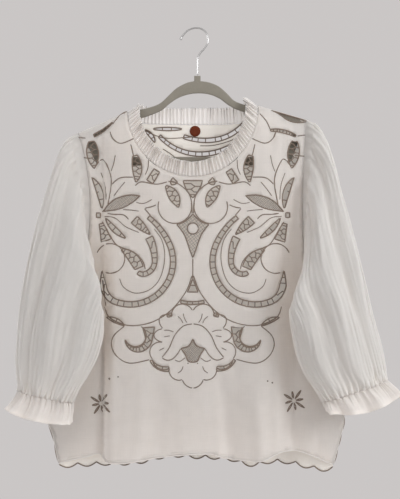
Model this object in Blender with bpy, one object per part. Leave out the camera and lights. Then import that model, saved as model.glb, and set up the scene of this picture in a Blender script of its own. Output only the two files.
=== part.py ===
# Cutwork linen blouse with gauze sleeves, hung on a slim hanger with a wire hook.
# Millimetres are used inside the functions; MM turns them into metres at the mesh.
# The origin is the underside of the hook's crown. The front faces -Y, up is +Z.
import math

import bpy
from mathutils import Vector
from mathutils.geometry import delaunay_2d_cdt

MM = 0.001

# Cloth and gaps
PANEL_WALL = 1.2
FRILL_WALL = 1.0
SEAM_GAP = 0.3
SEAM_HALF = (PANEL_WALL + SEAM_GAP) / 2      # from the mid plane to each panel's middle at a seam
BUTT = SEAM_GAP + PANEL_WALL / 2             # from a panel's edge to the middle of what is sewn to it

# Body
CENTRE_X = -7.0
NECK_HALF_WIDTH = 111.0
NECK_FRONT_POWER = 1.0                       # 1 is an ellipse, less is squarer
NECK_BACK_POWER = 0.5
NECK_FRONT_Z = -255.0
NECK_BACK_Z = -161.0
NECK_LEFT = (CENTRE_X - NECK_HALF_WIDTH, -141.0)
NECK_RIGHT = (CENTRE_X + NECK_HALF_WIDTH, -131.0)
SHOULDER_LEFT = (-202.0, -178.0)
SHOULDER_RIGHT = (185.0, -155.0)
UNDERARM_LEFT = (-198.0, -425.0)
UNDERARM_RIGHT = (184.0, -425.0)
ARMHOLE_BOW_LEFT = 19.0
ARMHOLE_BOW_RIGHT = 6.0

# Side seams, from the underarm down: x, z
SIDE_LEFT = [UNDERARM_LEFT, (-226, -520), (-250, -610), (-257, -657), (-245, -694), (-236, -739)]
SIDE_RIGHT = [UNDERARM_RIGHT, (214, -520), (241, -610), (250, -661), (242, -702), (232, -742)]

# Hems, left to right: x, z. The back hangs lower and is scalloped.
FRONT_HEM = [
    (-236, -739), (-212, -733), (-187, -727), (-166, -722), (-154, -733), (-129, -734),
    (-100, -730), (-62, -724), (-12, -719), (22, -719), (47, -727), (85, -730),
    (112, -728), (139, -717), (164, -716), (189, -722), (214, -734), (232, -742)]
BACK_HEM = [
    (-236, -742), (-180, -741), (-120, -741), (-60, -730), (0, -729), (50, -733),
    (90, -742), (125, -738), (165, -740), (210, -748), (232, -746)]
SCALLOP_PITCH = 31.0
SCALLOP_DEPTH = 7.0                          # at the back hem
SIDE_SCALLOP_DEPTH = 1.6
SCALLOP_STEPS = 6
SLIT_TOP_Z = -600.0                          # below this the back's scalloped sides stand out

# How far the front stands off the seam plane: x, at the chest, at the hem
FRONT_DRAPE = [
    (-245, 4, 4), (-205, 7, 7), (-175, 9, 8), (-159, 11, 9), (-150, 20, 24), (-135, 25, 30),
    (-105, 29, 33), (-70, 32, 29), (-35, 34, 28), (0, 35, 30), (32, 34, 23), (58, 33, 19),
    (85, 31, 27), (107, 29, 34), (130, 24, 29), (150, 17, 19), (166, 11, 10), (190, 9, 13),
    (212, 7, 8), (245, 4, 4)]
BACK_DRAPE = [
    (-245, 5, 5), (-190, 11, 12), (-140, 16, 24), (-95, 19, 14), (-40, 21, 26), (10, 21, 15),
    (55, 20, 25), (100, 18, 14), (145, 15, 23), (190, 10, 11), (245, 5, 5)]
CHEST_Z = -400.0
HEM_Z = -740.0
ROOF = 3.3                                  # rise of the cloth over the hanger's edge
ROOF_RUN = 4.5
ROOF_SIDE_RUN = 20.0
SHOULDER_RUN = 45.0
SIDE_RUN = 60.0

# How finely the panels are divided
NECK_CURVE_STEPS = 180
NECK_FRONT_STEPS = 44
NECK_BACK_STEPS = 26
SHOULDER_STEPS = 6
ARMHOLE_STEPS = 12
SHOULDER_DROPS = (1.6, 4.5, 12.0)            # rows of points below a shoulder seam
GRID_STEP_Z = 27.0
GRID_STAGGER = 0.25                          # share of a step, up and down by turns
GRID_CLEAR = 6.0                             # from a grid point to an edge or a gap

# Cutwork. u runs outward from the middle line, z up, degrees turn from the outward direction.
BAR = 2.0                                    # cloth left between two gaps of a ladder
CURVED_GAP = 12.0                            # a gap longer than this follows the curve
POINTED = 1.2                                # a ladder end narrower than this runs to a point
AIM = 1.0                                    # a path's direction is read this far before and after a place
# name, sides, u, z, heading, width, arcs (radius, sweep, width at its end), gaps
LADDERS = [
    ("scroll", "both", 74, -322, -142, 7, [(117, 28, 9), (72, 134, 9.5), (34, 62, 12), (200, 7, 1)], 26),
    ("inner_scroll", "both", 73, -356, -118, 13, [(80, 30, 8), (22, 75, 8), (12, 55, 7)], 9),
    ("volute", "both", 113, -527, -100, 1, [(20, -80, 8), (20, -90, 12), (200, -5, 20)], 8),
    ("petal_crescent", "both", 70, -561, -118, 4, [(28, -56, 8), (60, -8, 8)], 3),
    ("disc_ring", "right", 0, -354, 0, 6, [(13, 330, 6)], 6),
    ("chevron", "right", -20, -463, -14, 5, [(80, 28, 5)], 4),
]
# name, sides, from u, z, to u, z, bow, width at the start, middle and end, gaps
SLITS = [
    ("shoulder", "both", 172, -193, 167, -239, 0, 10, 20, 1, 5),
    ("bud", "both", 171, -254, 154, -306, -5, 1, 11, 2, 4),
    ("stem", "both", 160, -314, 160, -322, 0, 7, 7, 7, 1),
    ("neck_leaf", "both", 97, -219, 95, -263, -3, 8, 16, 2, 5),
    ("neck_slat", "both", 60, -244, 72, -263, 0, 11, 12, 12, 2),
    ("neck_notch", "both", 29, -260, 36, -267, 0, 11, 10, 4, 1),
    ("neck_heart", "right", 0, -261, 0, -290, 0, 32, 22, 1, 4),
    ("crescent", "both", 45, -270, 24, -306, -3, 2, 17, 1, 5),
    ("frond_gap", "both", 98, -326, 71, -351, 0, 15, 12, 1, 4),
    ("frond", "both", 147, -323, 112, -357, 3, 1, 9, 1, 4),
    ("stalk", "both", 155, -332, 146, -361, 0, 8, 13, 19, 4),
    ("inner_fan", "both", 90, -407, 119, -376, 4, 15, 16, 4, 5),
    ("rim", "both", 145, -490, 114, -504, -2, 1, 8, 1, 2),
    ("petal_nook", "both", 43, -487, 35, -484, 0, 4, 6, 5, 1),
    ("wedge", "right", 0, -425, 0, -447, 0, 1, 9, 18, 3),
    ("yoke_left", "left", 168, -183, 136, -161, 2, 5, 5, 2, 4),
    ("yoke_right", "right", 130, -176, 174, -184, 3, 3, 6, 4, 4),
]
BACK_LADDERS = [
    ("back_upper", "right", -16, -181, -20, 7, [(110, 30, 8), (80, 45, 7)], 9),
    ("back_lower", "right", -58, -180, -48, 6, [(95, 50, 8), (110, 36, 7)], 13),
]
BACK_SLITS = [
    ("back_lens", "left", 68, -168, 20, -168, 0, 2, 6, 2, 3),
    ("back_side", "left", 84, -170, 66, -192, -3, 2, 7, 1, 3),
]

# Sleeves. Each row is a section, from the armhole to the wrist:
# outer x, z, inner x, z, outer y, inner y, half depth, bow towards the body,
# how far the front laps over the body, how far the back is held off it, gather height
SLEEVE_POINTS = 32
SECTION_ROUND = 0.85                         # 1 is an ellipse, less is fuller
LAP_PEAK = 0.65                              # greatest value of the lap's curve before it is scaled
SLEEVE_LEFT = [
    (-214, -184, -202, -424, 0, -2, 20, 12, 6, 0, 1.2),
    (-226, -196, -204, -438, -4, -9, 27, 6, 24, 4, 1.6),
    (-237, -220, -200, -452, -10, -20, 31, 2, 36, 8, 0.8),
    (-246, -255, -194, -460, -18, -34, 33, 0, 38, 16, 0),
    (-257, -295, -182, -467, -25, -44, 34, 0, 38, 31, 0),
    (-268, -335, -166, -474, -30, -53, 34, 0, 26, 41, 0),
    (-280, -388, -155, -483, -36, -58, 34, 0, 12, 28, 0),
    (-290, -448, -153, -499, -42, -60, 34, 0, 4, 4, 0),
    (-297, -505, -155, -524, -46, -60, 33, 0, 0, 0, 0),
    (-299, -555, -164, -552, -48, -58, 31, 0, 0, 0, 0),
    (-297, -586, -180, -582, -50, -56, 28, 0, 0, 0, 1.6),
    (-295, -598, -194, -604, -51, -55, 25, 0, 0, 0, 2.4),
    (-294, -607, -205, -627, -52, -54, 22, 0, 0, 0, 1.0)]
SLEEVE_RIGHT = [
    (198, -161, 188, -424, 0, -2, 20, 4, 4, 0, 1.2),
    (210, -174, 190, -438, -4, -9, 27, 2, 14, 4, 1.6),
    (222, -198, 187, -452, -10, -20, 31, 0, 18, 8, 0.8),
    (232, -235, 181, -460, -18, -34, 33, 0, 20, 16, 0),
    (242, -280, 169, -467, -25, -44, 34, 0, 18, 31, 0),
    (254, -325, 158, -474, -30, -53, 34, 0, 16, 41, 0),
    (267, -375, 153, -484, -36, -58, 34, 0, 12, 28, 0),
    (280, -432, 154, -500, -42, -60, 34, 0, 4, 4, 0),
    (292, -488, 158, -522, -46, -60, 33, 0, 0, 0, 0),
    (304, -535, 165, -552, -48, -58, 31, 0, 0, 0, 0),
    (311, -567, 179, -584, -50, -56, 28, 0, 0, 0, 1.6),
    (312, -579, 195, -606, -51, -55, 25, 0, 0, 0, 2.4),
    (312, -590, 208, -626, -52, -54, 22, 0, 0, 0, 1.0)]

# Cuff frills, from the elastic down: the sleeve's columns, then a droop of the middle
CUFF_POINTS = 28
CUFF_WAVES = 7
CUFF_LEFT = [
    (-294, -608.2, -205, -628.2, -52, -54, 22, 0, 0, 0, 0, 0),
    (-299, -619, -205, -641, -52, -54, 23, 0, 0, 0, 1.5, 1),
    (-306, -630, -207, -652, -52, -54, 26, 0, 0, 0, 3, 2),
    (-313, -640, -209, -662, -52, -54, 29, 0, 0, 0, 4, 4)]
CUFF_RIGHT = [
    (312, -591.2, 208, -627.2, -52, -54, 22, 0, 0, 0, 0, 0),
    (320, -598, 210, -634, -52, -54, 23, 0, 0, 0, 1.5, 2),
    (329, -606, 213, -639, -52, -54, 26, 0, 0, 0, 3, 6),
    (336, -614, 216, -643, -52, -54, 29, 0, 0, 0, 4, 12)]

# Neck frill
FRILL_HEIGHT = 25.0
FRILL_BACK_HEIGHT = 29.0
FRONT_WAVES = 54
BACK_WAVES = 30
FRILL_SEAT = 0.8                             # from the panel's edge to the frill's foot
FRILL_LIFT = 0.6                             # upward share added to the inward direction
FRILL_LEAN = -0.12                           # forward share
FRILL_ROWS = [(0.0, 0.35), (0.5, 1.5), (1.0, 2.1)]   # share of the height, wave height

# Round tag inside the back neck
TAG_RADIUS = 9.4
TAG_WALL = 1.6
TAG_SIDES = 24
TAG_SLACK = 0.2                              # added to the seam gap behind it
TAG_PLACE = (-3.5, -172.0)

# Hanger: a slim flocked plate with rounded edges, and a wire hook
HANGER_HALF = 2.75
HANGER_EDGE = 2.2                            # how far its edges are rounded in
HANGER_FLAT = 0.5                            # half width of the flat left on an edge
HANGER_DROP = 1.8                            # from the shoulder seam down to its upper edge
HANGER_SHOULDER_LEFT_X = (-188, -150)
HANGER_SHOULDER_RIGHT_X = (140, 171)
HANGER_TOP = [(-99, -138), (-78, -133), (-62, -126), (-48, -113), (-35, -101), (-18, -92), (-5, -89)]
HANGER_TAB = [(-5, -80), (6, -80)]
HANGER_TOP_RIGHT = [(6, -89), (20, -91), (37, -98), (52, -111), (63, -122), (80, -129)]
HANGER_END_RIGHT = [(176, -156), (178, -168), (174, -186), (167, -208), (158, -228), (148, -233)]
HANGER_END_LEFT = [(-162, -233), (-172, -228), (-181, -210), (-189, -194), (-193, -182)]
HANGER_HOLE = [
    (-97, -153), (-78, -147), (-60, -139), (-47, -128), (-32, -118), (-15, -112), (3, -110),
    (21, -112), (38, -119), (53, -130), (68, -138), (84, -143), (104, -147), (146, -160),
    (159, -169), (160, -184), (153, -206), (142, -218), (-156, -218), (-168, -206),
    (-175, -192), (-170, -182), (-118, -159)]
HOOK_RADIUS = 1.5
HOOK_STEPS = 3                               # curve points to each stretch of the route
HOOK_SIDES_STEP = 2                          # rings of the wire between its quarters
# x, z, wire radius share. The wire is bent in the XZ plane.
HOOK_ROUTE = [
    (0.5, -79.6, 1), (0.5, -60, 1), (1, -50, 1), (5, -42, 1), (12, -34, 1), (17, -26, 1),
    (18.6, -17, 1), (16, -7.5, 1), (9, -0.8, 1), (0, 1.5, 1), (-10, 0, 1), (-18, -4.5, 1),
    (-24, -11, 1), (-26.3, -14.5, 1.15), (-27.3, -16.6, 1.5), (-28.3, -18.8, 1.1)]

# Colours: name, colour, roughness, metallic
FINISHES = {
    "linen": ((0.72, 0.66, 0.62), 0.85, 0.0),
    "gauze": ((0.80, 0.77, 0.73), 0.9, 0.0),
    "flock": ((0.34, 0.33, 0.28), 0.95, 0.0),
    "chrome": ((0.75, 0.75, 0.76), 0.2, 1.0),
    "tag": ((0.16, 0.04, 0.02), 0.5, 0.0),
}


def clear_scene():
    for item in list(bpy.data.objects):
        bpy.data.objects.remove(item, do_unlink=True)


def lerp(a, b, t):
    return a + (b - a) * t


def ease(distance, run):
    """0 at an edge, 1 from `run` millimetres inwards."""
    return math.sin(math.pi / 2 * max(0.0, min(1.0, distance / run)))


def table_at(rows, x, column):
    """Smooth reading of a short table that is sorted by its first column."""
    if x <= rows[0][0]:
        return rows[0][column]
    for low, high in zip(rows, rows[1:]):
        if x <= high[0]:
            t = (x - low[0]) / (high[0] - low[0])
            return lerp(low[column], high[column], t * t * (3 - 2 * t))
    return rows[-1][column]


def distance_to_line(x, z, line):
    best = math.inf
    for (ax, az), (bx, bz) in zip(line, line[1:]):
        along_x, along_z = bx - ax, bz - az
        t = ((x - ax) * along_x + (z - az) * along_z) / (along_x ** 2 + along_z ** 2)
        t = max(0.0, min(1.0, t))
        best = min(best, math.hypot(x - ax - t * along_x, z - az - t * along_z))
    return best


def evenly(points, count):
    """`count` + 1 points at even distances along a line."""
    lengths = [0.0]
    for a, b in zip(points, points[1:]):
        lengths.append(lengths[-1] + math.dist(a, b))
    out, k = [], 0
    for i in range(count + 1):
        target = lengths[-1] * i / count
        while k < len(points) - 2 and lengths[k + 1] < target:
            k += 1
        t = (target - lengths[k]) / max(lengths[k + 1] - lengths[k], 1e-9)
        out.append(tuple(lerp(a, b, t) for a, b in zip(points[k], points[k + 1])))
    return out


def smooth_line(points, steps):
    """A Catmull-Rom curve through the points, open at both ends."""
    out = []
    last = len(points) - 1
    for i in range(last):
        p0, p1 = points[max(i - 1, 0)], points[i]
        p2, p3 = points[i + 1], points[min(i + 2, last)]
        for k in range(steps):
            t = k / steps
            out.append(tuple(
                0.5 * (2 * b + (c - a) * t + (2 * a - 5 * b + 4 * c - d) * t ** 2
                       + (3 * b - a - 3 * c + d) * t ** 3)
                for a, b, c, d in zip(p0, p1, p2, p3)))
    out.append(tuple(points[last]))
    return out


def neck_curve(front, shrink=0.0):
    """The neck seam from the left shoulder to the right one, seen from the front."""
    half = NECK_HALF_WIDTH - shrink
    bottom = (NECK_FRONT_Z if front else NECK_BACK_Z) + shrink
    power = NECK_FRONT_POWER if front else NECK_BACK_POWER
    line = []
    for i in range(NECK_CURVE_STEPS + 1):
        angle = math.pi * i / NECK_CURVE_STEPS
        side = -math.cos(angle)
        top = NECK_LEFT[1] if side < 0 else NECK_RIGHT[1]
        across = math.copysign(abs(side) ** power, side)
        line.append((CENTRE_X + half * across, top - (top - bottom) * math.sin(angle) ** power))
    return line


def armhole_curve(side, count, outward=0.0):
    """The armhole seam from the shoulder point to the underarm, bowed towards the body."""
    top, bottom, bow = (
        (SHOULDER_LEFT, UNDERARM_LEFT, ARMHOLE_BOW_LEFT) if side < 0
        else (SHOULDER_RIGHT, UNDERARM_RIGHT, ARMHOLE_BOW_RIGHT))
    line = []
    for i in range(count + 1):
        angle = math.pi * i / count
        t = (1 - math.cos(angle)) / 2
        x = lerp(top[0], bottom[0], t) - side * bow * math.sin(angle) ** 2 + side * outward
        line.append((x, lerp(top[1], bottom[1], t)))
    return line


SHOULDER_LINES = ([NECK_LEFT, SHOULDER_LEFT], [NECK_RIGHT, SHOULDER_RIGHT])


def body_depth(x, z, drape):
    """How far a panel's middle stands off the seam plane."""
    low = max(0.0, min(1.0, (CHEST_Z - z) / (CHEST_Z - HEM_Z)))
    full = lerp(table_at(drape, x, 1), table_at(drape, x, 2), low)
    from_top = min(distance_to_line(x, z, line) for line in SHOULDER_LINES)
    from_side = min(distance_to_line(x, z, SIDE_LEFT), distance_to_line(x, z, SIDE_RIGHT))
    roof = ROOF * ease(from_top, ROOF_RUN) * ease(from_side, ROOF_SIDE_RUN)
    return SEAM_HALF + roof + (full - ROOF) * ease(from_top, SHOULDER_RUN) * ease(from_side, SIDE_RUN)


def front_y(x, z):
    return -body_depth(x, z, FRONT_DRAPE)


def back_y(x, z):
    return body_depth(x, z, BACK_DRAPE)


def arc_path(u, z, heading, width, arcs, step=2.0):
    """Points (u, z, width) along a chain of arcs. A positive sweep turns left."""
    points = [(u, z, width)]
    angle = math.radians(heading)
    for radius, sweep, end_width in arcs:
        turn = math.copysign(radius, sweep)
        centre = (u - turn * math.sin(angle), z + turn * math.cos(angle))
        count = max(2, math.ceil(radius * math.radians(abs(sweep)) / step))
        for i in range(1, count + 1):
            a = angle + math.radians(sweep) * i / count
            points.append((centre[0] + turn * math.sin(a), centre[1] - turn * math.cos(a),
                           lerp(width, end_width, i / count)))
        u, z, width = points[-1]
        angle += math.radians(sweep)
    return points


def slit_path(u0, z0, u1, z1, bow, start, middle, end, count=24):
    """Points (u, z, width) along a bowed line that swells to its middle."""
    length = math.hypot(u1 - u0, z1 - z0)
    normal = (-(z1 - z0) / length, (u1 - u0) / length)
    swell = 2 * middle - (start + end) / 2
    points = []
    for i in range(count + 1):
        t = i / count
        rise = 4 * bow * t * (1 - t)
        width = start * (1 - t) ** 2 + 2 * swell * t * (1 - t) + end * t ** 2
        points.append((lerp(u0, u1, t) + normal[0] * rise, lerp(z0, z1, t) + normal[1] * rise, width))
    return points


def rails(path, targets):
    """Both edges of a path at some lengths along it."""
    left, right = [], []
    for target in targets:
        u, z, width = at_length(path, target)
        before, after = at_length(path, target - AIM), at_length(path, target + AIM)
        du, dz = after[0] - before[0], after[1] - before[1]
        size = math.hypot(du, dz)
        left.append((u - dz / size * width / 2, z + du / size * width / 2))
        right.append((u + dz / size * width / 2, z - du / size * width / 2))
    return left, right


def ladder_gaps(path, gaps):
    """The gaps of one ladder as outlines, with a bar of cloth between neighbours."""
    length = sum(math.dist(a[:2], b[:2]) for a, b in zip(path, path[1:]))
    cells = []
    for i in range(gaps):
        start = length * i / gaps + (BAR / 2 if i else 0)
        end = length * (i + 1) / gaps - (BAR / 2 if i < gaps - 1 else 0)
        targets = [start, end] if end - start < CURVED_GAP else [start, (start + end) / 2, end]
        left, right = rails(path, targets)
        first, last = at_length(path, start), at_length(path, end)
        if first[2] < POINTED:
            left[0] = first[:2]
            right = right[1:]
        if last[2] < POINTED:
            left[-1] = last[:2]
            right = right[:-1]
        cells.append(left + right[::-1])
    return cells


def at_length(path, target):
    if target <= 0:
        return path[0]
    walked = 0.0
    for a, b in zip(path, path[1:]):
        step = math.dist(a[:2], b[:2])
        if walked + step >= target and step > 0:
            t = (target - walked) / step
            return tuple(lerp(p, q, t) for p, q in zip(a, b))
        walked += step
    return path[-1]


def place_gaps(ladders, slits):
    """Every gap as an outline in x and z, mirrored where a row says so."""
    gaps = []
    paths = [(sides, arc_path(*row[:5]), count) for _, sides, *row, count in ladders]
    paths += [(sides, slit_path(*row), count) for _, sides, *row, count in slits]
    for sides, path, count in paths:
        for side, label in ((-1, "left"), (1, "right")):
            if sides in ("both", label):
                for cell in ladder_gaps(path, count):
                    gaps.append(anticlockwise([(CENTRE_X + side * u, z) for u, z in cell]))
    return gaps


def inside(point, outline):
    x, z = point
    within = False
    for (ax, az), (bx, bz) in zip(outline, outline[1:] + outline[:1]):
        if (az > z) != (bz > z) and x < ax + (z - az) / (bz - az) * (bx - ax):
            within = not within
    return within


def anticlockwise(outline):
    area = sum(a[0] * b[1] - b[0] * a[1] for a, b in zip(outline, outline[1:] + outline[:1]))
    return outline if area > 0 else outline[::-1]


def triangulate(outline, gaps, extra):
    """Triangles that fill an outline, leaving its gaps open."""
    outline = anticlockwise(outline)
    points = [Vector(p) for p in outline]
    faces = [list(range(len(outline)))]
    for gap in gaps:
        faces.append(list(range(len(points), len(points) + len(gap))))
        points += [Vector(p) for p in gap]
    points += [Vector(p) for p in extra]
    verts, _, triangles, _, _, owners = delaunay_2d_cdt(points, [], faces, 1, 1e-5)
    kept = [tri for tri, owner in zip(triangles, owners) if owner == [0]]
    used = sorted({i for tri in kept for i in tri})
    index = {old: new for new, old in enumerate(used)}
    return [tuple(verts[i]) for i in used], [[index[i] for i in tri] for tri in kept]


def lattice(outline, gaps, columns):
    """Points inside an outline on the fold columns, clear of its edge and its gaps."""
    borders = [outline] + gaps
    low = min(z for _, z in outline)
    high = max(z for _, z in outline)
    points = []
    for row in range(1, int((high - low) / GRID_STEP_Z) + 1):
        for place, x in enumerate(columns):
            z = low + GRID_STEP_Z * (row + (-GRID_STAGGER if place % 2 else GRID_STAGGER))
            if not inside((x, z), outline) or any(inside((x, z), gap) for gap in gaps):
                continue
            if min(distance_to_line(x, z, b + b[:1]) for b in borders) > GRID_CLEAR:
                points.append((x, z))
    return points


def surface_normals(points, faces):
    normals = [Vector() for _ in points]
    for face in faces:
        a, b, c = (points[i] for i in face[:3])
        normal = (b - a).cross(c - a)
        if len(face) == 4:
            normal += (c - a).cross(points[face[3]] - a)
        for i in face:
            normals[i] += normal
    return normals


def thicken(name, points, faces, wall, finish, normals=None):
    """A closed solid, `wall` thick, with the given surface in its middle."""
    normals = normals or surface_normals(points, faces)
    count = len(points)
    offsets = [n.normalized() * wall / 2 for n in normals]
    solid = [p + o for p, o in zip(points, offsets)] + [p - o for p, o in zip(points, offsets)]
    skin = [list(face) for face in faces]
    skin += [[i + count for i in reversed(face)] for face in faces]
    edges = {(a, b) for face in faces for a, b in zip(face, face[1:] + face[:1])}
    skin += [[b, a, a + count, b + count] for a, b in sorted(edges) if (b, a) not in edges]
    return add_solid(name, solid, skin, finish)


def add_solid(name, points, faces, finish):
    mesh = bpy.data.meshes.new(name)
    mesh.from_pydata([Vector(p) * MM for p in points], [], faces)
    mesh.shade_smooth()
    mesh.update()
    body = bpy.data.objects.new(name, mesh)
    bpy.context.collection.objects.link(body)
    body.data.materials.append(material(finish))
    return body


def material(finish):
    colour, roughness, metallic = FINISHES[finish]
    look = bpy.data.materials.get(finish) or bpy.data.materials.new(finish)
    look.use_nodes = True
    shader = look.node_tree.nodes["Principled BSDF"]
    shader.inputs["Base Color"].default_value = (*colour, 1.0)
    shader.inputs["Roughness"].default_value = roughness
    shader.inputs["Metallic"].default_value = metallic
    return look


def between(a, b):
    """Even points along a shoulder seam, without its ends."""
    shares = [i / SHOULDER_STEPS for i in range(1, SHOULDER_STEPS)]
    return [(lerp(a[0], b[0], t), lerp(a[1], b[1], t)) for t in shares]


def panel(name, outline, gaps, drape, depth):
    shoulder_rows = [(x, z - drop) for line in SHOULDER_LINES for drop in SHOULDER_DROPS
                     for x, z in between(*line)]
    columns = [row[0] for row in drape[1:-1]]
    extra = lattice(outline, gaps, columns) + shoulder_rows
    flat, faces = triangulate(outline, gaps, extra)
    points = [Vector((x, depth(x, z), z)) for x, z in flat]
    return thicken(name, points, faces, PANEL_WALL, "linen")


def make_front():
    neck = evenly(neck_curve(True), NECK_FRONT_STEPS)
    armhole_right = armhole_curve(1, ARMHOLE_STEPS)
    armhole_left = armhole_curve(-1, ARMHOLE_STEPS)
    side_right = smooth_line(SIDE_RIGHT, 2)
    side_left = smooth_line(SIDE_LEFT, 2)
    hem = smooth_line(FRONT_HEM, 2)
    shoulder_right = between(NECK_RIGHT, SHOULDER_RIGHT)
    shoulder_left = between(SHOULDER_LEFT, NECK_LEFT)
    outline = (neck + shoulder_right + armhole_right + side_right[1:] + hem[::-1][1:]
               + side_left[::-1][1:] + armhole_left[::-1][1:] + shoulder_left)
    return panel("front_panel", outline, place_gaps(LADDERS, SLITS), FRONT_DRAPE, front_y)


def scalloped(line, outward):
    """A line with even scallops that stand out by this much: to its left, or below 0 to its right."""
    length = sum(math.dist(a, b) for a, b in zip(line, line[1:]))
    count = max(1, round(length / SCALLOP_PITCH))
    even = evenly(line, count * SCALLOP_STEPS)
    out = []
    for i, (x, z) in enumerate(even):
        before, after = even[max(i - 1, 0)], even[min(i + 1, len(even) - 1)]
        size = math.dist(before, after)
        rise = outward * abs(math.sin(math.pi * i / SCALLOP_STEPS))
        out.append((x - (after[1] - before[1]) / size * rise, z + (after[0] - before[0]) / size * rise))
    return out


def make_back():
    neck = evenly(neck_curve(False), NECK_BACK_STEPS)
    side_right = smooth_line(SIDE_RIGHT, 2)
    side_left = smooth_line(SIDE_LEFT, 2)
    upper_right = [p for p in side_right if p[1] >= SLIT_TOP_Z]
    lower_right = scalloped([p for p in side_right if p[1] < SLIT_TOP_Z], SIDE_SCALLOP_DEPTH)
    upper_left = [p for p in side_left if p[1] >= SLIT_TOP_Z]
    lower_left = scalloped([p for p in side_left if p[1] < SLIT_TOP_Z], -SIDE_SCALLOP_DEPTH)
    hem = scalloped(smooth_line(BACK_HEM, 4), -SCALLOP_DEPTH)
    shoulder_right = between(NECK_RIGHT, SHOULDER_RIGHT)
    shoulder_left = between(SHOULDER_LEFT, NECK_LEFT)
    outline = (neck + shoulder_right + armhole_curve(1, ARMHOLE_STEPS) + upper_right[1:] + lower_right
               + hem[::-1] + lower_left[::-1] + upper_left[::-1]
               + armhole_curve(-1, ARMHOLE_STEPS)[::-1][1:] + shoulder_left)
    return panel("back_panel", outline, place_gaps(BACK_LADDERS, BACK_SLITS), BACK_DRAPE, back_y)


def section(row, count, side, wave):
    """One ring of a sleeve or cuff; it starts at the outer point and passes the front first."""
    outer_x, outer_z, inner_x, inner_z, outer_y, inner_y, half, bow, lap, tuck, gather, *droop = row
    droop = droop[0] if droop else 0.0
    ring = []
    for i in range(count):
        angle = 2 * math.pi * i / count
        t = (1 - math.cos(angle)) / 2
        round_off = math.copysign(abs(math.sin(angle)) ** SECTION_ROUND, math.sin(angle))
        lift = gather * wave(i)
        over = (lap if math.sin(angle) > 0 else tuck) * math.sin(angle) * t / LAP_PEAK
        x = lerp(outer_x, inner_x, t) - side * (bow * math.sin(angle) ** 2 + over)
        x += side * lift * math.cos(angle)
        y = lerp(outer_y, inner_y, t) - (half + lift) * round_off
        z = lerp(outer_z, inner_z, t) - droop * math.sin(angle) ** 2
        ring.append(Vector((x, y, z)))
    return ring


def armhole_ring(side):
    half = SLEEVE_POINTS // 2
    line = armhole_curve(side, half, BUTT)
    front = [Vector((x, front_y(x - side * BUTT, z), z)) for x, z in line]
    back = [Vector((x, back_y(x - side * BUTT, z), z)) for x, z in line]
    top, bottom = front[0], front[-1]
    top.y = 0.0
    bottom.y = 0.0
    top.z += BUTT
    bottom.z -= BUTT
    return [top] + front[1:-1] + [bottom] + back[1:-1][::-1]


def grid_faces(rows, columns):
    return [[k * columns + i, k * columns + i + 1, (k + 1) * columns + i + 1, (k + 1) * columns + i]
            for k in range(rows - 1) for i in range(columns - 1)]


def tube_faces(rings):
    """The faces of a tube through the rings, turned so that they look outward."""
    count = len(rings[0])
    faces = []
    for k in range(len(rings) - 1):
        for i in range(count):
            j = (i + 1) % count
            faces.append([k * count + i, k * count + j, (k + 1) * count + j, (k + 1) * count + i])
    middle = sum(rings[0], Vector()) / count
    a, b = rings[0][0], rings[0][1]
    down = rings[1][0] - a
    if (b - a).cross(down).dot(a - middle) < 0:
        faces = [face[::-1] for face in faces]
    return faces


def make_sleeve(name, side, rows):
    """The sleeve in two halves, front and back, that meet along its outer and inner lines."""
    rings = [armhole_ring(side)]
    rings += [section(row, SLEEVE_POINTS, side, lambda i: 1 if i % 2 else -1) for row in rows]
    points = [p for ring in rings for p in ring]
    faces = tube_faces(rings)
    normals = surface_normals(points, faces)
    turned = faces[0][0] != 0
    half = SLEEVE_POINTS // 2
    for label, first in (("front", 0), ("back", half)):
        columns = [(first + i) % SLEEVE_POINTS for i in range(half + 1)]
        kept = [rings[k][i].copy() for k in range(len(rings)) for i in columns]
        kept_normals = [normals[k * SLEEVE_POINTS + i].normalized()
                        for k in range(len(rings)) for i in columns]
        for k in range(len(rings)):
            for i, sign in ((0, 1), (half, -1)):
                here = k * (half + 1) + i
                above, below = rings[max(k - 1, 0)], rings[min(k + 1, len(rings) - 1)]
                down = below[columns[i]] - above[columns[i]]
                aside = down.cross(kept_normals[here]).normalized()
                kept[here] += aside * SEAM_GAP / 2 * (-sign if turned else sign)
        strip = grid_faces(len(rings), half + 1)
        if turned:
            strip = [face[::-1] for face in strip]
        thicken(f"{name}_{label}", kept, strip, PANEL_WALL, "gauze", kept_normals)


def make_cuff(name, side, rows):
    def wave(i):
        return math.cos(2 * math.pi * CUFF_WAVES * i / CUFF_POINTS)
    rings = [section(row, CUFF_POINTS, side, wave) for row in rows]
    points = [p for ring in rings for p in ring]
    return thicken(name, points, tube_faces(rings), FRILL_WALL, "linen")


def make_neck_frill(name, front, waves, height):
    columns = waves * 2
    base = evenly(neck_curve(front, FRILL_SEAT), columns)
    seam = evenly(neck_curve(front), columns)
    depth = front_y if front else back_y
    forward = FRILL_LEAN if front else -FRILL_LEAN
    points = []
    for share, wave_height in FRILL_ROWS:
        for i, (x, z) in enumerate(base):
            before, after = base[max(i - 1, 0)], base[min(i + 1, columns)]
            along = Vector((after[0] - before[0], 0, after[1] - before[1])).normalized()
            rise = Vector((-along.z, forward, along.x + FRILL_LIFT)).normalized()
            side = along.cross(rise).normalized()
            wave = wave_height * (1 if i % 2 else -1)
            foot = Vector((x, depth(*seam[i]), z))
            points.append(foot + rise * height * share + side * wave)
    return thicken(name, points, grid_faces(len(FRILL_ROWS), columns + 1), FRILL_WALL, "linen")


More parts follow.
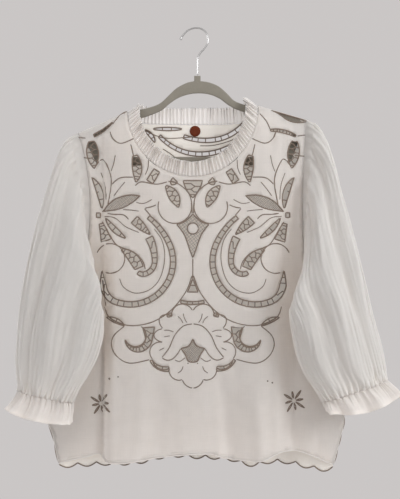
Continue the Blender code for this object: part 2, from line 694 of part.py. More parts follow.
def make_tag():
    x, z = TAG_PLACE
    y = back_y(x, z) - PANEL_WALL / 2 - SEAM_GAP - TAG_SLACK - TAG_WALL / 2
    count = TAG_SIDES
    rim = [(x + TAG_RADIUS * math.cos(2 * math.pi * i / count),
            z + TAG_RADIUS * math.sin(2 * math.pi * i / count)) for i in range(count)]
    points = [(px, y + dy, pz) for dy in (-TAG_WALL / 2, TAG_WALL / 2) for px, pz in rim]
    faces = [list(range(count)), list(range(2 * count - 1, count - 1, -1))]
    for i in range(count):
        j = (i + 1) % count
        faces.append([j, i, i + count, j + count])
    return add_solid("neck_tag", points, faces, "tag")


def shrunk(outline, inset):
    """An outline moved in by `inset`; the outline runs anticlockwise seen from the front."""
    out = []
    for i, (x, z) in enumerate(outline):
        ax, az = outline[i - 1]
        bx, bz = outline[(i + 1) % len(outline)]
        size = math.hypot(bx - ax, bz - az)
        out.append((x - (bz - az) / size * inset, z + (bx - ax) / size * inset))
    return out


def seam_z(x):
    (ax, az), (bx, bz) = SHOULDER_LINES[0] if x < CENTRE_X else SHOULDER_LINES[1]
    return az + (bz - az) * (x - ax) / (bx - ax)


def make_hanger():
    under_left = [(x, seam_z(x) - HANGER_DROP) for x in (*HANGER_SHOULDER_LEFT_X, NECK_LEFT[0])]
    under_right = [(x, seam_z(x) - HANGER_DROP) for x in (NECK_RIGHT[0], *HANGER_SHOULDER_RIGHT_X)]
    top = (under_left + HANGER_TOP + HANGER_TAB + HANGER_TOP_RIGHT + under_right
           + HANGER_END_RIGHT + HANGER_END_LEFT)
    outline = top[::-1]
    hole = HANGER_HOLE[::-1]
    layers = [(-HANGER_HALF, HANGER_EDGE), (-HANGER_FLAT, 0.0),
              (HANGER_FLAT, 0.0), (HANGER_HALF, HANGER_EDGE)]
    points, faces, starts = [], [], []
    for y, inset in layers:
        starts.append(len(points))
        points += [(x, y, z) for x, z in shrunk(outline, inset)]
        points += [(x, y, z) for x, z in shrunk(hole, -inset)]
    edge = len(outline)
    total = edge + len(hole)
    for k in range(3):
        for i in range(edge):
            j = (i + 1) % edge
            a, b = starts[k], starts[k + 1]
            faces.append([a + j, a + i, b + i, b + j])
        for i in range(len(hole)):
            j = (i + 1) % len(hole)
            a, b = starts[k] + edge, starts[k + 1] + edge
            faces.append([a + i, a + j, b + j, b + i])
    flat = [Vector((p[0], p[2])) for p in points[:total]]
    loops = [list(range(edge)), list(range(edge, total))]
    _, _, triangles, _, _, owners = delaunay_2d_cdt(flat, [], loops, 1, 1e-5)
    for triangle, owner in zip(triangles, owners):
        if owner == [0]:
            faces.append(list(triangle))
            faces.append([i + starts[3] for i in reversed(triangle)])
    return add_solid("hanger", points, faces, "flock")


def make_hook():
    route = smooth_line(HOOK_ROUTE, HOOK_STEPS)
    curve = bpy.data.curves.new("hanger_hook", "CURVE")
    curve.dimensions = "3D"
    curve.bevel_depth = HOOK_RADIUS * MM
    curve.bevel_resolution = HOOK_SIDES_STEP
    curve.use_fill_caps = True
    spline = curve.splines.new("POLY")
    spline.points.add(len(route) - 1)
    for point, (x, z, share) in zip(spline.points, route):
        point.co = (x * MM, 0.0, z * MM, 1.0)
        point.radius = share
    hook = bpy.data.objects.new("hanger_hook", curve)
    bpy.context.collection.objects.link(hook)
    curve.materials.append(material("chrome"))
    return hook


def main():
    clear_scene()
    make_front()
    make_back()
    make_sleeve("sleeve_left", -1, SLEEVE_LEFT)
    make_sleeve("sleeve_right", 1, SLEEVE_RIGHT)
    make_cuff("cuff_frill_left", -1, CUFF_LEFT)
    make_cuff("cuff_frill_right", 1, CUFF_RIGHT)
    make_neck_frill("neck_frill_front", True, FRONT_WAVES, FRILL_HEIGHT)
    make_neck_frill("neck_frill_back", False, BACK_WAVES, FRILL_BACK_HEIGHT)
    make_tag()
    make_hanger()
    make_hook()


main()
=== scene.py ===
# Looks of the cutwork linen blouse on its hanger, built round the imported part.
# Places are in millimetres from the hook's crown: x to the right, y to the back, z up.
import math
import random

import bpy
import numpy as np
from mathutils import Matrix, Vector, noise
from mathutils.geometry import delaunay_2d_cdt


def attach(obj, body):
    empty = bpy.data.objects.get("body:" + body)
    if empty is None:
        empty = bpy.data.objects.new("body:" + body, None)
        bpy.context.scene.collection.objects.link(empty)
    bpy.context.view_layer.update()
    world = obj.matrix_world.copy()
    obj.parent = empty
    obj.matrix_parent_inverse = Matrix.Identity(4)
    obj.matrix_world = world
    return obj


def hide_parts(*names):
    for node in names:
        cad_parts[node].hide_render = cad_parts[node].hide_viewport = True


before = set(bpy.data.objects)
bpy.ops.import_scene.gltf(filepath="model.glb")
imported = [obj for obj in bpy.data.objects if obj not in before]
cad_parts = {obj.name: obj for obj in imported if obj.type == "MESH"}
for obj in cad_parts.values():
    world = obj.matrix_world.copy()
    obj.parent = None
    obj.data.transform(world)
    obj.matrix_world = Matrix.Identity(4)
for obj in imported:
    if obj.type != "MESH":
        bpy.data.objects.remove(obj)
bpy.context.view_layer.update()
mm = 0.001
print("frame loaded")


# Shader maths

class Link:  # a node socket that adds Math nodes when it is used in a sum
    def __init__(self, tree, socket=None):
        self.tree = tree
        self.socket = socket

    def node(self, kind, settings=None, inputs=None, output=0):
        made = self.tree.nodes.new(kind)
        for name, value in (settings or {}).items():
            setattr(made, name, value)
        for name, value in (inputs or {}).items():
            if isinstance(value, Link):
                self.tree.links.new(value.socket, made.inputs[name])
            else:
                made.inputs[name].default_value = value
        return Link(self.tree, made.outputs[output])

    def maths(self, operation, a, b=0.0):
        return self.node("ShaderNodeMath", {"operation": operation}, {0: a, 1: b})

    def __add__(self, other):
        return self.maths("ADD", self, other)

    def __sub__(self, other):
        return self.maths("SUBTRACT", self, other)

    def __rsub__(self, other):
        return self.maths("SUBTRACT", other, self)

    def __mul__(self, other):
        return self.maths("MULTIPLY", self, other)

    __radd__ = __add__
    __rmul__ = __mul__

    def sine(self):
        return self.maths("SINE", self)

    def blend(self, low, high):  # a colour between two others
        return self.node("ShaderNodeMix", {"data_type": "RGBA"}, {0: self, 6: low, 7: high}, 2)

    def noise(self, scale, detail=3.0, stretch=(1, 1, 1)):
        spread = self.node("ShaderNodeVectorMath", {"operation": "MULTIPLY"}, {0: self, 1: stretch})
        return self.node("ShaderNodeTexNoise", {}, {"Vector": spread, "Scale": scale, "Detail": detail})

    def bump(self, strength, depth):  # depth in mm
        return self.node("ShaderNodeBump", {}, {"Height": self, "Strength": strength, "Distance": depth * mm})


def newLook(name, sockets):
    look = bpy.data.materials.new(name)
    look.use_nodes = True
    shader = look.node_tree.nodes["Principled BSDF"]
    for socket, value in sockets.items():
        shader.inputs[socket].default_value = value
    return look, shader, Link(look.node_tree)


def plug(shader, socket, link):
    link.tree.links.new(link.socket, shader.inputs[socket])


def shade(colour, share):
    return tuple(min(1.0, part * share) for part in colour) + (1.0,)


cloths = {  # spacing of threads and bump height in mm, slub contrast, share of crepe crinkles
    "linen": {"colour": (0.83, 0.765, 0.71), "spacing": 0.8, "bump": 0.14, "slub": 0.13,
              "sheen": 0.25, "crepe": 0.8},
    # the same linen for the back panel, warmer in colour: painted light that comes through the cloth
    "inside": {"colour": (0.92, 0.79, 0.68), "spacing": 0.8, "bump": 0.14, "slub": 0.12,
               "sheen": 0.2, "crepe": 0.8},
    "gauze": {"colour": (0.93, 0.865, 0.79), "spacing": 0.9, "bump": 0.12, "slub": 0.06,
              "sheen": 0.3, "crepe": 14.0},
    "frill": {"colour": (0.91, 0.85, 0.80), "spacing": 0.8, "bump": 0.08, "slub": 0.06,
              "sheen": 0.3, "crepe": 0.5},
}


def clothLook(name):
    cloth = cloths[name]
    look, shader, start = newLook(name, {
        "Roughness": 0.88, "Sheen Weight": cloth["sheen"], "Sheen Roughness": 0.5,
        "Subsurface Weight": 1.0, "Subsurface Radius": (0.96, 0.98, 1.0), "Subsurface Scale": 0.005})
    lay = start.node("ShaderNodeAttribute", {"attribute_name": "lay"}, output=1)  # mm along the threads
    across = lay.node("ShaderNodeSeparateXYZ", {}, {0: lay}, 0)
    along = lay.node("ShaderNodeSeparateXYZ", {}, {0: lay}, 1)
    turn = 2 * math.pi / cloth["spacing"]
    weave = (across * turn).sine() * (along * turn).sine()
    slubs = lay.noise(1.0, 2.0, (1.1, 0.03, 1)) + lay.noise(1.0, 2.0, (0.03, 1.1, 1))
    patches = lay.noise(0.035, 3.0)
    tone = 0.35 * slubs + 0.5 * patches
    low, high = (shade(cloth["colour"], 1 + sign * cloth["slub"]) for sign in (-1, 1))
    plug(shader, "Base Color", tone.blend(low, high))
    crepe = cloth["crepe"] * lay.noise(1.0, 3.0, (0.2, 0.016, 1))
    height = 0.25 * weave + 0.9 * slubs + crepe
    plug(shader, "Normal", height.bump(0.6, cloth["bump"]))
    return look


stitchPitch = 0.7  # mm from one satin stitch to the next


def threadLook():
    look, shader, start = newLook("thread", {"Roughness": 0.55, "Sheen Weight": 0.3, "Sheen Roughness": 0.4})
    lay = start.node("ShaderNodeAttribute", {"attribute_name": "lay"}, output=1)
    along = lay.node("ShaderNodeSeparateXYZ", {}, {0: lay}, 0)
    stitches = 0.5 + 0.5 * (along * (2 * math.pi / stitchPitch)).sine()
    worn = lay.noise(0.12, 3.0)
    # the stitch wave also makes the colour darker between stitches: painted shade in the grooves; worn adds a
    # random tone
    tone = 0.25 * stitches + 0.6 * worn
    plug(shader, "Base Color", tone.blend((0.15, 0.108, 0.08, 1), (0.30, 0.232, 0.18, 1)))
    plug(shader, "Normal", stitches.bump(0.5, 0.2))
    return look


# fine and coarse: noise scale, detail, share of the tone
def grainedLook(name, sockets, fine, coarse, colours, raised):
    look, shader, start = newLook(name, sockets)
    place = start.node("ShaderNodeTexCoord", {}, {}, 3)
    grain = place.noise(*fine[:2])
    tone = grain * fine[2] + place.noise(*coarse[:2]) * coarse[2]
    plug(shader, "Base Color", tone.blend(*colours))
    plug(shader, "Normal", grain.bump(raised, 0.3))
    return look


def chromeLook():
    look, shader, start = newLook("chrome", {"Base Color": (0.55, 0.55, 0.55, 1), "Metallic": 1.0})
    place = start.node("ShaderNodeTexCoord", {}, {}, 3)
    scuffs = place.noise(260.0, 4.0, (1, 1, 0.25))
    plug(shader, "Roughness", 0.1 + 0.25 * scuffs)
    return look


looks = {name: clothLook(name) for name in cloths}
looks["thread"] = threadLook()
looks["flock"] = grainedLook("flock", {"Roughness": 0.95, "Sheen Weight": 0.5, "Sheen Roughness": 0.6},
                             (900.0, 4.0, 0.4), (35.0, 3.0, 0.6),
                             ((0.19, 0.175, 0.14, 1), (0.30, 0.28, 0.235, 1)), 0.4)
looks["chrome"] = chromeLook()
looks["tag"] = grainedLook("tag", {"Roughness": 0.6, "Specular IOR Level": 0.2},
                           (900.0, 5.0, 0.35), (160.0, 3.0, 0.6),
                           ((0.06, 0.010, 0.003, 1), (0.22, 0.042, 0.010, 1)), 0.5)
print("finishes made")


# Lines and surfaces

def lerp(a, b, t):
    return a + (b - a) * t


def ease(distance, run):
    return np.sin(math.pi / 2 * np.clip(distance / run, 0, 1))


def smoothStep(t):
    t = np.clip(t, 0, 1)
    return t * t * (3 - 2 * t)


def tableAt(rows, x, column):  # smooth reading of a short table sorted by its first column
    knots = np.array([row[0] for row in rows], float)
    values = np.array([row[column] for row in rows], float)
    place = np.clip(np.searchsorted(knots, x) - 1, 0, len(knots) - 2)
    t = (x - knots[place]) / (knots[place + 1] - knots[place])
    return lerp(values[place], values[place + 1], smoothStep(t))


def distanceTo(x, z, line):
    line = np.asarray(line, float)
    best = np.full(np.shape(x), np.inf)
    for (ax, az), (bx, bz) in zip(line, line[1:]):
        dx, dz = bx - ax, bz - az
        t = np.clip(((x - ax) * dx + (z - az) * dz) / (dx * dx + dz * dz + 1e-12), 0, 1)
        best = np.minimum(best, np.hypot(x - ax - t * dx, z - az - t * dz))
    return best


def insideOf(x, z, outline):
    within = np.zeros(np.shape(x), bool)
    for (ax, az), (bx, bz) in zip(outline, outline[1:] + outline[:1]):
        if az == bz:
            continue
        crosses = (az > z) != (bz > z)
        within ^= crosses & (x < ax + (z - az) / (bz - az) * (bx - ax))
    return within


def unit(runs):
    return runs / np.maximum(np.linalg.norm(runs, axis=-1, keepdims=True), 1e-9)


def walkedAlong(points):  # the distance from the first point to each
    steps = np.diff(np.asarray(points, float), axis=0)
    return np.concatenate([[0], np.cumsum(np.linalg.norm(steps, axis=1))])


def lengthOf(points):
    return float(walkedAlong(points)[-1])


def evenly(points, count):  # count + 1 points at even distances along a line
    points = np.asarray(points, float)
    lengths = walkedAlong(points)
    places = np.linspace(0, lengths[-1], count + 1)
    return np.stack([np.interp(places, lengths, points[:, k]) for k in range(points.shape[1])], axis=1)


def smoothLine(points, steps):  # a Catmull-Rom curve through the points, open at both ends
    points = [np.array(p, float) for p in points]
    last = len(points) - 1
    out = []
    for i in range(last):
        a, b, c, d = points[max(i - 1, 0)], points[i], points[i + 1], points[min(i + 2, last)]
        for k in range(steps):
            t = k / steps
            out.append(0.5 * (2 * b + (c - a) * t + (2 * a - 5 * b + 4 * c - d) * t ** 2
                              + (3 * b - a - 3 * c + d) * t ** 3))
    out.append(points[last])
    return np.array(out)


def anticlockwise(outline):
    outline = [tuple(p) for p in outline]
    area = sum(a[0] * b[1] - b[0] * a[1] for a, b in zip(outline, outline[1:] + outline[:1]))
    return outline if area > 0 else outline[::-1]


def fillOutline(outline, gaps, extra):  # triangles inside an outline and outside its gaps
    loops = [anticlockwise(outline)] + [anticlockwise(gap) for gap in gaps]
    points, faces = [], []
    for loop in loops:
        faces.append(list(range(len(points), len(points) + len(loop))))
        points += [Vector(p) for p in loop]
    points += [Vector(p) for p in extra]
    made = delaunay_2d_cdt(points, [], faces, 1, 1e-5)
    kept = np.array([face for face, owner in zip(made[2], made[5]) if owner == [0]])
    used, index = np.unique(kept, return_inverse=True)
    return np.array([tuple(p) for p in made[0]])[used], index.reshape(kept.shape)


def gridFaces(rows, columns, closed=False):
    wrap = columns if closed else columns - 1
    k, i = np.meshgrid(np.arange(rows - 1), np.arange(wrap), indexing="ij")
    j = (i + 1) % columns
    row, after = k * columns, (k + 1) * columns
    return np.stack([row + i, row + j, after + j, after + i], axis=-1).reshape(-1, 4)


def pointNormals(points, faces):
    corners = points[faces]
    flat = np.cross(corners[:, 2] - corners[:, 0], corners[:, -1] - corners[:, 1])
    normals = np.zeros_like(points)
    for k in range(faces.shape[1]):
        np.add.at(normals, faces[:, k], flat)
    return unit(normals)


def thicken(points, faces, wall):  # both sides of a cloth and its cut edge, from its middle
    normals = pointNormals(points, faces)
    wall = np.broadcast_to(np.asarray(wall, float), (len(points),))[:, None]
    count = len(points)
    both = np.concatenate([points + normals * wall / 2, points - normals * wall / 2])
    edges = np.concatenate([faces[:, [k, (k + 1) % faces.shape[1]]] for k in range(faces.shape[1])])
    codes = edges[:, 0] * count + edges[:, 1]
    open_ = edges[~np.isin(codes, edges[:, 1] * count + edges[:, 0])]
    rim = np.stack([open_[:, 1], open_[:, 0], open_[:, 0] + count, open_[:, 1] + count], axis=1)
    skin = faces.tolist() + (faces[:, ::-1] + count).tolist() + rim.tolist()
    return both, skin


def addPiece(name, points, faces, look, lay=None, replaces=()):
    mesh = bpy.data.meshes.new(name)
    mesh.from_pydata((np.asarray(points, float) * mm).tolist(), [], faces)
    mesh.shade_smooth()
    if lay is not None:
        layer = mesh.attributes.new("lay", "FLOAT_VECTOR", "POINT")
        layer.data.foreach_set("vector", np.asarray(lay, np.float32).ravel())
    mesh.materials.append(looks[look])
    piece = bpy.data.objects.new(name, mesh)
    bpy.context.scene.collection.objects.link(piece)
    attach(piece, "root")
    if replaces:
        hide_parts(*replaces)
    return piece


def addCloth(name, points, faces, wall, look, lay, replaces=()):
    both, skin = thicken(points, faces, wall)
    lay = np.column_stack([lay, np.zeros(len(lay))])
    return addPiece(name, both, skin, look, np.concatenate([lay, lay]), replaces)


class Cords:  # many short round or flat threads, joined in one mesh
    def __init__(self, sides=6):
        self.sides = sides
        self.points, self.faces, self.lay = [], [], []
        self.count = 0

    def add(self, path, width, thick, closed=False, pinch=True):
        path = np.asarray(path, float)
        count = len(path)
        if closed:
            tangent = np.roll(path, -1, 0) - np.roll(path, 1, 0)
        else:
            tangent = np.gradient(path, axis=0)
        tangent = unit(tangent)
        side = unit(np.cross(tangent, (0.0, 1.0, 0.0)))
        up = np.cross(side, tangent)
        size = np.ones(count)
        if pinch and not closed:
            size[[0, -1]] = 0.35
        angles = 2 * math.pi * np.arange(self.sides) / self.sides
        width = np.broadcast_to(np.asarray(width, float), (count,)) * size / 2
        rings = (path[:, None] + side[:, None] * (width[:, None] * np.cos(angles))[..., None]
                 + up[:, None] * (thick / 2 * size[:, None] * np.sin(angles))[..., None])
        lay = np.zeros((count, self.sides, 3))
        lay[..., 0] = walkedAlong(path)[:, None]
        lay[..., 1] = angles
        lay[..., 2] = self.count * 0.37
        faces = gridFaces(count, self.sides, True)
        if closed:
            last = np.arange(self.sides)
            after = (last + 1) % self.sides
            start = (count - 1) * self.sides
            faces = np.concatenate([faces, np.stack([start + last, start + after, after, last], axis=1)])
        self.faces += (faces + self.count).tolist()
        if not closed:
            self.faces.append([self.count + k for k in range(self.sides)])
            self.faces.append([self.count + count * self.sides - 1 - k for k in range(self.sides)])
        self.points.append(rings.reshape(-1, 3))
        self.lay.append(lay.reshape(-1, 3))
        self.count += count * self.sides

    def finish(self, name, look):
        return addPiece(name, np.concatenate(self.points), self.faces, look, np.concatenate(self.lay))


# The body's cut: the same sizes and places as the part's panels

body = {
    "wall": 0.9, "seamHalf": 0.75, "butt": 0.9, "centre": -7.0,
    "neckHalf": 111.0, "neckFront": -255.0, "neckBack": -161.0, "backPower": 0.5,
    "neckLeft": (-118, -141), "neckRight": (104, -131),
    "shoulderLeft": (-202, -178), "shoulderRight": (185, -155),
    "underarmLeft": (-198, -425), "underarmRight": (184, -425),
    "armholeBowLeft": 19.0, "armholeBowRight": 6.0,
    "roof": 3.3, "roofRun": 4.5, "roofSideRun": 20.0, "shoulderRun": 45.0, "sideRun": 60.0,
    "chest": -400.0, "hem": -740.0, "slitTop": -600.0,
    "scallopPitch": 31.0, "scallopDepth": 7.0, "sideScallop": 1.6,
    "gridStep": 6.5, "gridClear": 2.6,
}
sideLeft = [body["underarmLeft"], (-226, -520), (-250, -610), (-257, -657), (-245, -694), (-236, -739)]
sideRight = [body["underarmRight"], (214, -520), (241, -610), (250, -661), (242, -702), (232, -742)]
frontHem = [
    (-236, -739), (-212, -733), (-187, -727), (-166, -722), (-154, -733), (-129, -734),
    (-100, -730), (-62, -724), (-12, -719), (22, -719), (47, -727), (85, -730),
    (112, -728), (139, -717), (164, -716), (189, -722), (214, -734), (232, -742)]
backHem = [
    (-236, -742), (-180, -741), (-120, -741), (-60, -730), (0, -729), (50, -733),
    (90, -742), (125, -738), (165, -740), (210, -748), (232, -746)]
# How far each panel stands off the seam plane: x, at the chest, at the hem
frontDrape = [
    (-245, 4, 4), (-205, 7, 7), (-175, 9, 8), (-159, 11, 9), (-150, 20, 24), (-135, 25, 30),
    (-105, 29, 33), (-70, 32, 29), (-35, 34, 28), (0, 35, 30), (32, 34, 23), (58, 33, 19),
    (85, 31, 27), (107, 29, 34), (130, 24, 29), (150, 17, 19), (166, 11, 10), (190, 9, 13),
    (212, 7, 8), (245, 4, 4)]
backDrape = [
    (-245, 5, 5), (-190, 11, 12), (-140, 16, 24), (-95, 19, 14), (-40, 21, 26), (10, 21, 15),
    (55, 20, 25), (100, 18, 14), (145, 15, 23), (190, 10, 11), (245, 5, 5)]
# Creases: from x, z to x, z, half width, height (a trough is negative)
frontCreases = [
    (-156, -500, -160, -735, 7, -6.0), (-60, -600, -66, -728, 14, -3.0), (-30, -610, -22, -725, 12, 2.4),
    (38, -570, 54, -728, 11, -5.0), (92, -600, 108, -726, 13, 4.0), (150, -540, 160, -716, 9, -5.0),
    (-138, -420, -146, -735, 8, 3.4), (74, -500, 62, -600, 12, -2.2), (-90, -560, -98, -730, 10, 2.2),
    (155, -470, 170, -600, 9, -2.4), (120, -440, 142, -590, 10, 1.6), (-140, -470, -148, -600, 8, -2.0),
    (-185, -440, -200, -560, 9, 1.8), (190, -450, 205, -600, 9, 1.8), (-118, -620, -124, -732, 10, 1.8),
    (0, -610, 6, -716, 9, -1.4), (-168, -300, -120, -340, 9, -1.2), (160, -300, 118, -345, 9, -1.2),
    (-96, -250, -60, -300, 8, 0.9), (84, -250, 50, -300, 8, 0.9), (-120, -170, -150, -240, 8, -1.0),
    (112, -165, 146, -235, 8, -1.0), (-178, -380, -150, -400, 7, -1.2), (165, -385, 140, -402, 7, -1.2)]
backCreases = [
    (-150, -480, -170, -735, 12, -2.4), (-90, -520, -100, -735, 14, 2.2), (-20, -470, -10, -725, 16, -2.4),
    (60, -540, 70, -730, 12, 2.0), (120, -480, 135, -735, 12, -2.4), (-60, -220, -90, -420, 14, 1.6),
    (50, -220, 80, -430, 14, 1.6), (0, -200, 0, -380, 12, -1.2), (-150, -230, -110, -330, 10, -1.4),
    (140, -220, 100, -330, 10, -1.4), (-200, -560, -215, -735, 8, 1.8), (190, -560, 205, -735, 8, 1.6)]
shoulderLines = [[body["neckLeft"], body["shoulderLeft"]], [body["neckRight"], body["shoulderRight"]]]
ripple = {"height": 0.45, "size": 26.0, "fine": 0.16, "fineSize": 8.0}


def neckCurve(front, shrink=0.0):
    half = body["neckHalf"] - shrink
    bottom = (body["neckFront"] if front else body["neckBack"]) + shrink
    power = 1.0 if front else body["backPower"]
    angle = np.linspace(0, math.pi, 241)
    side = -np.cos(angle)
    top = np.where(side < 0, body["neckLeft"][1], body["neckRight"][1])
    across = np.sign(side) * np.abs(side) ** power
    return np.stack([body["centre"] + half * across, top - (top - bottom) * np.sin(angle) ** power], axis=1)


def armholeCurve(side, count, outward=0.0):
    word = "Left" if side < 0 else "Right"
    top, bottom, bow = body["shoulder" + word], body["underarm" + word], body["armholeBow" + word]
    angle = math.pi * np.arange(count + 1) / count
    t = (1 - np.cos(angle)) / 2
    x = lerp(top[0], bottom[0], t) - side * bow * np.sin(angle) ** 2 + side * outward
    return np.stack([x, lerp(top[1], bottom[1], t)], axis=1)


def creased(x, z, creases):
    height = np.zeros(np.shape(x))
    for ax, az, bx, bz, half, rise in creases:
        dx, dz = bx - ax, bz - az
        size = math.hypot(dx, dz)
        t = ((x - ax) * dx + (z - az) * dz) / size ** 2
        off = ((x - ax) * dz - (z - az) * dx) / size
        ends = smoothStep((t + 0.15) / 0.4) * smoothStep((1.15 - t) / 0.35)
        height += rise * np.exp(-(off / half) ** 2) * ends
    return height


def rippled(x, z, seed):
    spots = zip(np.ravel(x), np.ravel(z))
    made = [ripple["height"] * noise.noise((a / ripple["size"], b / ripple["size"] * 0.6, seed))
            + ripple["fine"] * noise.noise((a / ripple["fineSize"], b / ripple["fineSize"], seed + 5))
            for a, b in spots]
    return np.array(made).reshape(np.shape(x))


def bodyDepth(x, z, drape, creases, seed):
    x, z = np.asarray(x, float), np.asarray(z, float)
    low = np.clip((body["chest"] - z) / (body["chest"] - body["hem"]), 0, 1)
    full = lerp(tableAt(drape, x, 1), tableAt(drape, x, 2), low)
    fromTop = np.minimum(*[distanceTo(x, z, line) for line in shoulderLines])
    fromSide = np.minimum(distanceTo(x, z, sideLeft), distanceTo(x, z, sideRight))
    roof = body["roof"] * ease(fromTop, body["roofRun"]) * ease(fromSide, body["roofSideRun"])
    drop = ease(fromTop, body["shoulderRun"]) * ease(fromSide, body["sideRun"])
    calm = smoothStep(fromTop / 20) * smoothStep(fromSide / 25)
    folds = creased(x, z, creases) + rippled(x, z, seed)
    return body["seamHalf"] + roof + (full - body["roof"]) * drop + folds * calm


def frontY(x, z):
    return -bodyDepth(x, z, frontDrape, frontCreases, 3.0)


def backY(x, z):
    return bodyDepth(x, z, backDrape, backCreases, 17.0)


# Cutwork. u runs outward from the middle line, z up; degrees turn from the outward direction

ladders = [  # sides, u, z, heading, width, arcs (radius, sweep, width at its end), bars
    ("both", 74, -322, -142, 7, [(117, 28, 9), (72, 134, 9.5), (34, 62, 12), (200, 7, 1)], 26),
    ("both", 73, -356, -118, 13, [(80, 30, 8), (22, 75, 8), (12, 55, 7)], 9),
    ("both", 113, -527, -100, 1, [(20, -80, 8), (20, -90, 12), (200, -5, 20)], 14),
    ("both", 70, -561, -118, 4, [(28, -56, 8), (60, -8, 8)], 3),
    ("right", -20, -463, -14, 5, [(80, 28, 5)], 4)]
slits = [  # sides, from u, z, to u, z, bow, width at the start, middle and end, bars
    ("both", 172, -193, 167, -239, 0, 10, 20, 1, 10),
    ("both", 171, -254, 154, -306, -5, 1, 11, 2, 4),
    ("both", 160, -314, 160, -322, 0, 7, 7, 7, 1),
    ("both", 97, -219, 95, -263, -3, 8, 16, 2, 10),
    ("both", 60, -244, 72, -263, 0, 11, 12, 12, 4),
    ("both", 29, -260, 36, -267, 0, 11, 10, 4, 1),
    ("right", 0, -261, 0, -290, 0, 32, 22, 1, 6),
    ("both", 45, -270, 24, -306, -3, 2, 17, 1, 9),
    ("both", 98, -326, 71, -351, 0, 15, 12, 1, 8),
    ("both", 147, -323, 112, -357, 3, 1, 9, 1, 4),
    ("both", 155, -332, 146, -361, 0, 8, 13, 19, 7),
    ("both", 90, -407, 119, -376, 4, 15, 16, 4, 9),
    ("both", 145, -490, 114, -504, -2, 1, 8, 1, 2),
    ("both", 43, -487, 35, -484, 0, 4, 6, 5, 1),
    ("right", 0, -425, 0, -447, 0, 1, 9, 18, 2),
    ("left", 168, -183, 136, -161, 2, 5, 5, 2, 6),
    ("right", 130, -176, 174, -184, 3, 3, 6, 4, 8)]
backLadders = [
    ("right", -16, -181, -20, 7, [(110, 30, 8), (80, 45, 7)], 9),
    ("right", -58, -180, -48, 6, [(95, 50, 8), (110, 36, 7)], 13)]
backSlits = [
    ("left", 68, -168, 20, -168, 0, 2, 6, 2, 3),
    ("left", 84, -170, 66, -192, -3, 2, 7, 1, 3)]
# Openings filled with a net: sides, corners as smooth runs, net spacing
netLeaf = [[(153, -312), (133, -293), (109, -285), (88, -286)],
           [(88, -286), (102, -298), (123, -308), (153, -312)]]
shield = [[(0, -317), (13, -329), (27, -334)], [(27, -334), (14, -352), (5, -377), (0, -390)],
          [(0, -390), (-5, -377), (-14, -352), (-27, -334)], [(-27, -334), (-13, -329), (0, -317)]]
tulipNet = [[(20, -541), (7, -537), (0, -525)], [(0, -525), (-7, -537), (-20, -541)],
            [(-20, -541), (-12, -553), (-7, -563), (7, -563), (12, -553), (20, -541)]]
shoulderNet = [[(133, -140), (146, -147), (162, -158), (178, -161), (189, -160)],
               [(189, -160), (189, -156), (133, -140)]]
nets = [("both", netLeaf, 2.2), ("right", shield, 4.2), ("right", tulipNet, 2.4), ("right", shoulderNet, 3.4)]
disc = {"z": -341.0, "radius": 8.8}


def arcPath(u, z, heading, width, arcs, step=2.0):
    points = [(u, z, width)]
    angle = math.radians(heading)
    for radius, sweep, endWidth in arcs:
        turn = math.copysign(radius, sweep)
        centre = (u - turn * math.sin(angle), z + turn * math.cos(angle))
        count = max(2, math.ceil(radius * math.radians(abs(sweep)) / step))
        for i in range(1, count + 1):
            a = angle + math.radians(sweep) * i / count
            points.append((centre[0] + turn * math.sin(a), centre[1] - turn * math.cos(a),
                           lerp(width, endWidth, i / count)))
        u, z, width = points[-1]
        angle += math.radians(sweep)
    return np.array(points)


def slitPath(u0, z0, u1, z1, bow, start, middle, end, count=20):
    length = math.hypot(u1 - u0, z1 - z0)
    normal = (-(z1 - z0) / length, (u1 - u0) / length)
    swell = 2 * middle - (start + end) / 2
    t = np.linspace(0, 1, count + 1)
    rise = 4 * bow * t * (1 - t)
    width = start * (1 - t) ** 2 + 2 * swell * t * (1 - t) + end * t ** 2
    return np.stack([lerp(u0, u1, t) + normal[0] * rise, lerp(z0, z1, t) + normal[1] * rise, width], axis=1)


def railsOf(path):
    run = unit(np.gradient(path[:, :2], axis=0))
    off = np.stack([-run[:, 1], run[:, 0]], axis=1) * path[:, 2:] / 2
    return path[:, :2] + off, path[:, :2] - off


def outlineOf(path):
    left, right = railsOf(path)
    if path[0, 2] < 1.2:
        right = right[1:]
    if path[-1, 2] < 1.2:
        right = right[:-1]
    return np.concatenate([left, right[::-1]])


def cutPaths(ladderRows, slitRows):  # sides, path, bars
    found = [(row[0], arcPath(*row[1:6]), row[6]) for row in ladderRows]
    return found + [(row[0], slitPath(*row[1:9]), row[9]) for row in slitRows]


def eachSide(sides):
    return [side for side, word in ((-1, "left"), (1, "right")) if sides in ("both", word)]


def placed(flat, side):
    flat = np.asarray(flat, float)
    return np.stack([body["centre"] + side * flat[:, 0], flat[:, 1]], axis=1)


def joined(runs, steps=6):
    return np.concatenate([smoothLine(run, steps)[:-1] for run in runs])


frontCuts = cutPaths(ladders, slits)
backCuts = cutPaths(backLadders, backSlits)
frontGaps = [placed(outlineOf(path), side) for sides, path, bars in frontCuts for side in eachSide(sides)]
backGaps = [placed(outlineOf(path), side) for sides, path, bars in backCuts for side in eachSide(sides)]
netGaps = [(placed(joined(runs), side), spacing) for sides, runs, spacing in nets for side in eachSide(sides)]


def onPanel(flat, depth):
    flat = np.asarray(flat, float)
    return np.stack([flat[:, 0], depth(flat[:, 0], flat[:, 1]), flat[:, 1]], axis=1)


